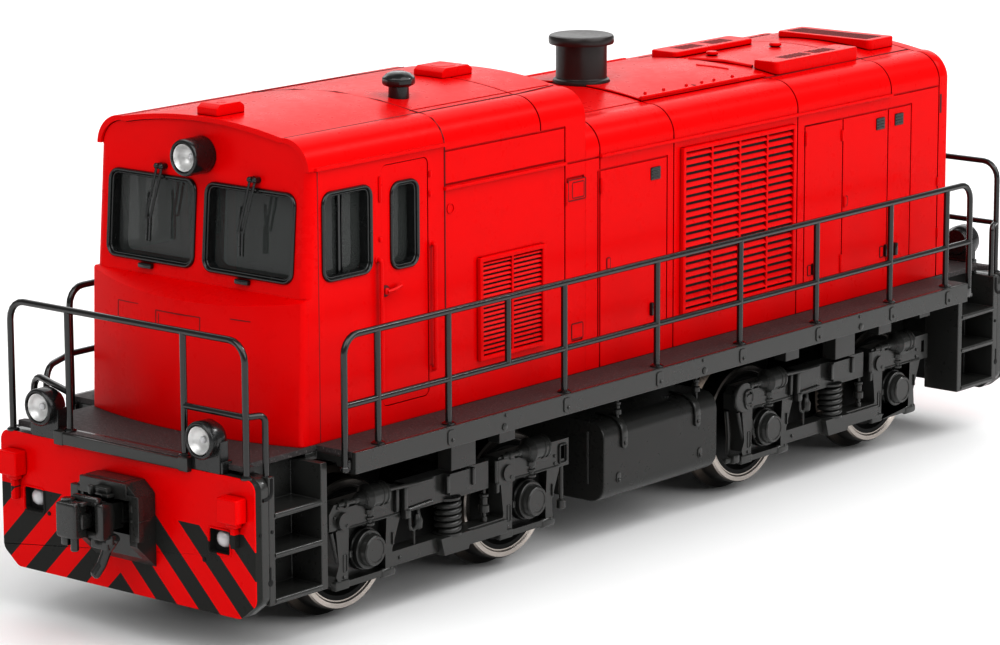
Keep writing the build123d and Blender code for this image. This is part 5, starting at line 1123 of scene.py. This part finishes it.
class LOCO_OT_bogies(bpy.types.Operator):
    """Axle boxes, brake gear, coil springs and rods of both bogies"""
    bl_idname = "locomotive.bogies"
    bl_label = "Bogies"

    def execute(self, context):
        for name, end in ENDS:
            pivot, body = end * BOGIE_X, f"bogie_{name}"
            axles = (pivot + HALF_BASE, pivot - HALF_BASE)
            covers = [turned((x, FRAME_IN + 0.7, AXLE_Z), Y, AXLE_BOX, 44) for x in axles]
            covers += [placed(plate(0.4, 0.6, 0.7, 0.1, 0.06), "left", (x + shift, 12.0, AXLE_Z))
                       for x in axles for shift in (-2.15, 2.15)]
            finished(mirrored(joined(covers)), f"axle_box_covers_{name}", "frame_black", f"axle_boxes_{name}",
                     body=body, smooth=30)
            gear = []
            for x in axles:
                gear.append(turned((x, 12.75, 11.3), X, CYLINDER, 36))
                gear.append(turned((x, 12.75, 11.3), X, BELLOWS, 18))
                gear.append(block((x - 1.95, 11.9, 10.0), (x + 0.1, 13.2, 10.9), 0.15))
                gear.append(turned((x - 0.1, 12.7, 8.7), Z, SPRING_SEAT, 18))
            finished(mirrored(joined(gear)), f"brake_gear_{name}", "frame_black", f"brake_cylinders_{name}",
                     body=body, smooth=30)
            spring = coil((pivot, 12.35, 5.85), 0.98, 0.27, 4.5, 3.05)
            seats = [turned((pivot, 12.25, 5.8), Z, ((-0.1, 1.32), (0.12, 1.32), (0.2, 1.2)), 28),
                     turned((pivot, 12.25, 8.8), Z, ((0, 1.1), (0.1, 1.25), (0.3, 1.25)), 28),
                     turned((pivot, 12.25, 5.8), Z, ((0, 0.45), (3.1, 0.45)), 14)]
            finished(mirrored(joined([spring] + seats)), f"coil_springs_{name}", "spring_black",
                     f"bogie_springs_{name}", body=body, smooth=50)
            front, rear = axles
            trim = [turned((pivot - 4.95, 12.3, 5.7), Z, DAMPER, 16),
                    rod([(pivot + 5.25, 12.5, 9.6), (pivot + 5.25, 12.5, 7.1), (pivot + 4.3, 12.5, 7.1),
                         (pivot + 4.3, 12.5, 8.4)], 0.17, 0.44, 10),
                    turned((pivot + 4.05, 12.4, 6.9), Z,
                           ((0, 0.2), (0.2, 0.42), (0.9, 0.48), (1.3, 0.3), (2.0, 0.18)), 14),
                    rod([(pivot + 4.7, 12.5, 7.0), (pivot + 4.7, 12.5, 5.8)], 0.15, sides=8),
                    # upper link with its drop bracket and panel
                    rod([(front - 2.0, 13.3, 11.6), (front - 5.8, 13.3, 11.42)], 0.19, sides=10),
                    block((front - 4.55, 12.9, 9.1), (front - 4.05, 13.35, 11.3), 0.10),
                    block((front - 3.6, 12.8, 9.3), (front - 3.2, 13.15, 11.3), 0.08),
                    block((front - 8.4, 12.75, 9.35), (front - 4.9, 12.98, 11.35), 0.07),
                    rod([(front - 4.4, 13.1, 9.2), (front - 7.9, 13.1, 9.35)], 0.17, sides=10),
                    block((front - 4.75, 12.9, 8.55), (front - 4.0, 13.5, 9.35), 0.15),
                    # rear panel, drop rod and slot strap
                    block((rear + 2.35, 12.75, 8.9), (rear + 4.7, 12.98, 11.2), 0.07),
                    rod([(rear + 5.05, 13.0, 8.4), (rear + 5.05, 13.0, 11.25)], 0.19, sides=10),
                    block((rear + 4.85, 12.8, 8.35), (rear + 5.3, 13.3, 9.3), 0.12),
                    block((pivot - 2.35, 13.3, 9.9), (pivot - 1.95, 13.62, 11.45), 0.08),
                    block((pivot + 0.95, 13.35, 9.75), (pivot + 1.35, 13.5, 11.3), 0.06),
                    # diagonal rod ahead of the front pedestal
                    rod([(front + 4.5, 12.5, 8.95), (front + 3.65, 12.5, 6.2)], 0.2, sides=10)]
            for x in axles:
                trim.append(turned((x + 3.3, 12.8, AXLE_Z + 2.9), Y, ((0, 0.50), (0.25, 0.50), (0.33, 0.40)), 20))
                trim.append(placed(stud(0.17, 0.2), "left", (x + 3.2, 13.1, AXLE_Z + 2.8)))
                trim.append(dotted(stud(0.16, 0.14), "left", [(x + dx, 12.8, AXLE_Z + dz) for dx, dz in (
                    (4.3, 3.6), (3.2, -1.8), (-2.8, -2.3), (3.0, -2.4), (-3.4, 3.4), (-3.4, 2.7), (3.9, 4.4))]))
                # narrow windows and edges of the pedestal legs, lugs at their feet
                trim.append(placed(hoop(0.42, 1.5, 0.1, 0.12, 0.16, sides=8), "left",
                                   (x + 3.05, 12.8, AXLE_Z - 0.6)))
                trim.append(block((x - 3.12, 12.7, AXLE_Z - 0.2), (x - 2.92, 12.95, AXLE_Z + 0.9), 0.05))
                trim.append(block((x - 3.45, 12.3, AXLE_Z - 3.0), (x - 1.5, 12.9, AXLE_Z - 2.1), 0.3, 3))
                trim.append(block((x + 2.6, 12.3, AXLE_Z - 2.85), (x + 4.4, 12.95, AXLE_Z - 2.0), 0.16))
                trim.append(rod([(x + 4.1, 12.78, AXLE_Z + 2.45), (x - 3.9, 12.78, AXLE_Z + 2.4)], 0.12, sides=8))
                trim.append(rod([(x + 2.9, 12.0, AXLE_Z + 2.45), (x - 2.6, 12.0, AXLE_Z + 2.2)], 0.22, sides=8))
            trim.append(dotted(stud(0.17, 0.16), "left", [(pivot + dx, 12.8, 5.1) for dx in (-6.7, 6.9)]))
            trim.append(block((pivot - 7.4, 12.7, 4.35), (pivot - 2.2, 13.0, 5.62), 0.08))
            if end > 0:
                trim += [rod([(pivot - 15.4, 12.6, 8.9), (pivot - 15.4, 12.6, 5.4)], 0.2, sides=10),
                         turned((pivot - 15.4, 12.6, 4.9), Z,
                                ((0, 0.25), (0.1, 0.42), (0.8, 0.42), (0.95, 0.25)), 14),
                         placed(hoop(1.0, 1.7, 0.2, 0.2, 0.3, sides=8), "left", (pivot - 15.35, 12.85, 10.1))]
            if end < 0:
                trim += [turned((pivot + 14.85, 12.6, 10.35), Y,
                                ((0, 1.40), (0.3, 1.47), (0.42, 1.40), (0.46, 1.1)), 36),
                         placed(hoop(1.15, 1.35, 0.5, 0.34, 0.5, sides=10), "left", (pivot + 14.4, 13.05, 10.3)),
                         rod([(pivot + 15.75, 11.5, 9.0), (pivot + 15.45, 11.5, 6.6), (pivot + 15.5, 11.5, 4.75)],
                             0.24, 0.8, 10),
                         rod([(pivot + 13.4, 12.5, 8.3), (pivot + 12.7, 12.5, 6.0)], 0.2, sides=10),
                         block((pivot + 15.6, 12.2, 4.2), (pivot + 17.35, 12.7, 4.75), 0.2),
                         block((pivot + 15.5, 12.1, 4.1), (pivot + 16.5, 13.0, 4.95), 0.2)]
            finished(mirrored(joined(trim)), f"bogie_trim_{name}", "frame_black", body=body, smooth=30)
        return {"FINISHED"}


class LOCO_OT_studio(bpy.types.Operator):
    """Pale floor, soft studio light and the camera"""
    bl_idname = "locomotive.studio"
    bl_label = "Studio"

    def execute(self, context):
        view, scene = context.scene.locomotive_view, context.scene
        scene.view_settings.view_transform = "Standard"
        scene.view_settings.gamma = 0.8
        n = Nodes("studio_floor")
        cloud = n.noise(3.0, 3.0)
        n.set(colour=n.mix(cloud, (0.93, 0.93, 0.93, 1), (0.95, 0.95, 0.95, 1)), rough=0.8)
        bpy.ops.mesh.primitive_plane_add(size=12.0, location=(0, 0, 0))
        floor = settled()
        floor.name = "floor"
        floor.data.materials.append(FINISHES["studio_floor"])
        # white to the camera, dimmer as a source of light
        world = bpy.data.worlds.new("studio")
        world.use_nodes = True
        nodes, links = world.node_tree.nodes, world.node_tree.links
        nodes["Background"].inputs["Color"].default_value = (1.0, 1.0, 1.0, 1.0)
        power = nodes.new("ShaderNodeMapRange")
        power.inputs["To Min"].default_value, power.inputs["To Max"].default_value = view.surround, 1.0
        links.new(nodes.new("ShaderNodeLightPath").outputs["Is Camera Ray"], power.inputs["Value"])
        links.new(power.outputs[0], nodes["Background"].inputs["Strength"])
        scene.world = world
        for name, kind, power, wide, place in (
                ("key", "SUN", view.key, math.radians(64), (-0.10, 0.66, 0.62)),
                ("front", "AREA", view.front, 0.60, (0.52, 0.12, 0.58)),
                ("rim", "AREA", view.rim, 2.00, (-1.00, -0.95, 1.00)),
                ("glint", "AREA", view.glint, 0.16, (-0.62, 0.42, 0.62))):
            bpy.ops.object.light_add(type=kind, location=place)
            light = context.object
            light.name = name + "_light"
            light.data.energy = power
            setattr(light.data, "angle" if kind == "SUN" else "size", wide)
            light.rotation_euler = (Vector(place) - Vector((0, 0, 0.03))).to_track_quat("Z", "Y").to_euler()
            light.visible_camera = False
        bpy.ops.object.camera_add()
        camera = context.object
        camera.data.lens = view.focal
        camera.data.sensor_width = 36.0
        camera.data.clip_start, camera.data.clip_end = 0.01, 20.0
        camera.matrix_world = (Matrix.Translation((0.28934, 0.23690, 0.09757))
                               @ Matrix.Rotation(math.radians(129.9796), 4, "Z")
                               @ Matrix.Rotation(math.radians(78.0204), 4, "X")
                               @ Matrix.Rotation(math.radians(-0.2048), 4, "Z"))
        scene.camera = camera
        return {"FINISHED"}


OPERATORS = (
    LOCO_OT_finishes, LOCO_OT_mouldings, LOCO_OT_wheels, LOCO_OT_railings,
    LOCO_OT_grab_rails, LOCO_OT_lamps, LOCO_OT_wipers, LOCO_OT_windows,
    LOCO_OT_grilles, LOCO_OT_roof_fittings, LOCO_OT_hood_fittings, LOCO_OT_end_plates,
    LOCO_OT_coupling, LOCO_OT_frame_fittings, LOCO_OT_bogies, LOCO_OT_studio)
GROUPS = {"locomotive_finish": LocomotiveFinish, "locomotive_sizes": LocomotiveSizes,
          "locomotive_view": LocomotiveView}


class LOCO_PT_panel(bpy.types.Panel):
    bl_idname = "LOCO_PT_panel"
    bl_label = "Locomotive"
    bl_space_type = "VIEW_3D"
    bl_region_type = "UI"
    bl_category = "Locomotive"

    def draw(self, context):
        for group in GROUPS:
            box = self.layout.box()
            for name in getattr(context.scene, group).bl_rna.properties.keys():
                if name not in ("rna_type", "name"):
                    box.prop(getattr(context.scene, group), name)
        for operator in OPERATORS:
            self.layout.operator(operator.bl_idname)


def register():
    """Makes the groups, the operators and the panel known."""
    for cls in (*GROUPS.values(), *OPERATORS, LOCO_PT_panel):
        bpy.utils.register_class(cls)
    for name, group in GROUPS.items():
        setattr(bpy.types.Scene, name, PointerProperty(type=group))


def unregister():
    """Takes them all away again."""
    for name in GROUPS:
        delattr(bpy.types.Scene, name)
    for cls in reversed((*GROUPS.values(), *OPERATORS, LOCO_PT_panel)):
        bpy.utils.unregister_class(cls)


def main():
    """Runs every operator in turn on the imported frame."""
    register()
    for obj in list(bpy.data.objects):
        if obj.name in ("Cube", "Light", "Camera"):
            bpy.data.objects.remove(obj)
    for operator in OPERATORS:
        group, name = operator.bl_idname.split(".")
        getattr(getattr(bpy.ops, group), name)()


if __name__ == "__main__":
    main()
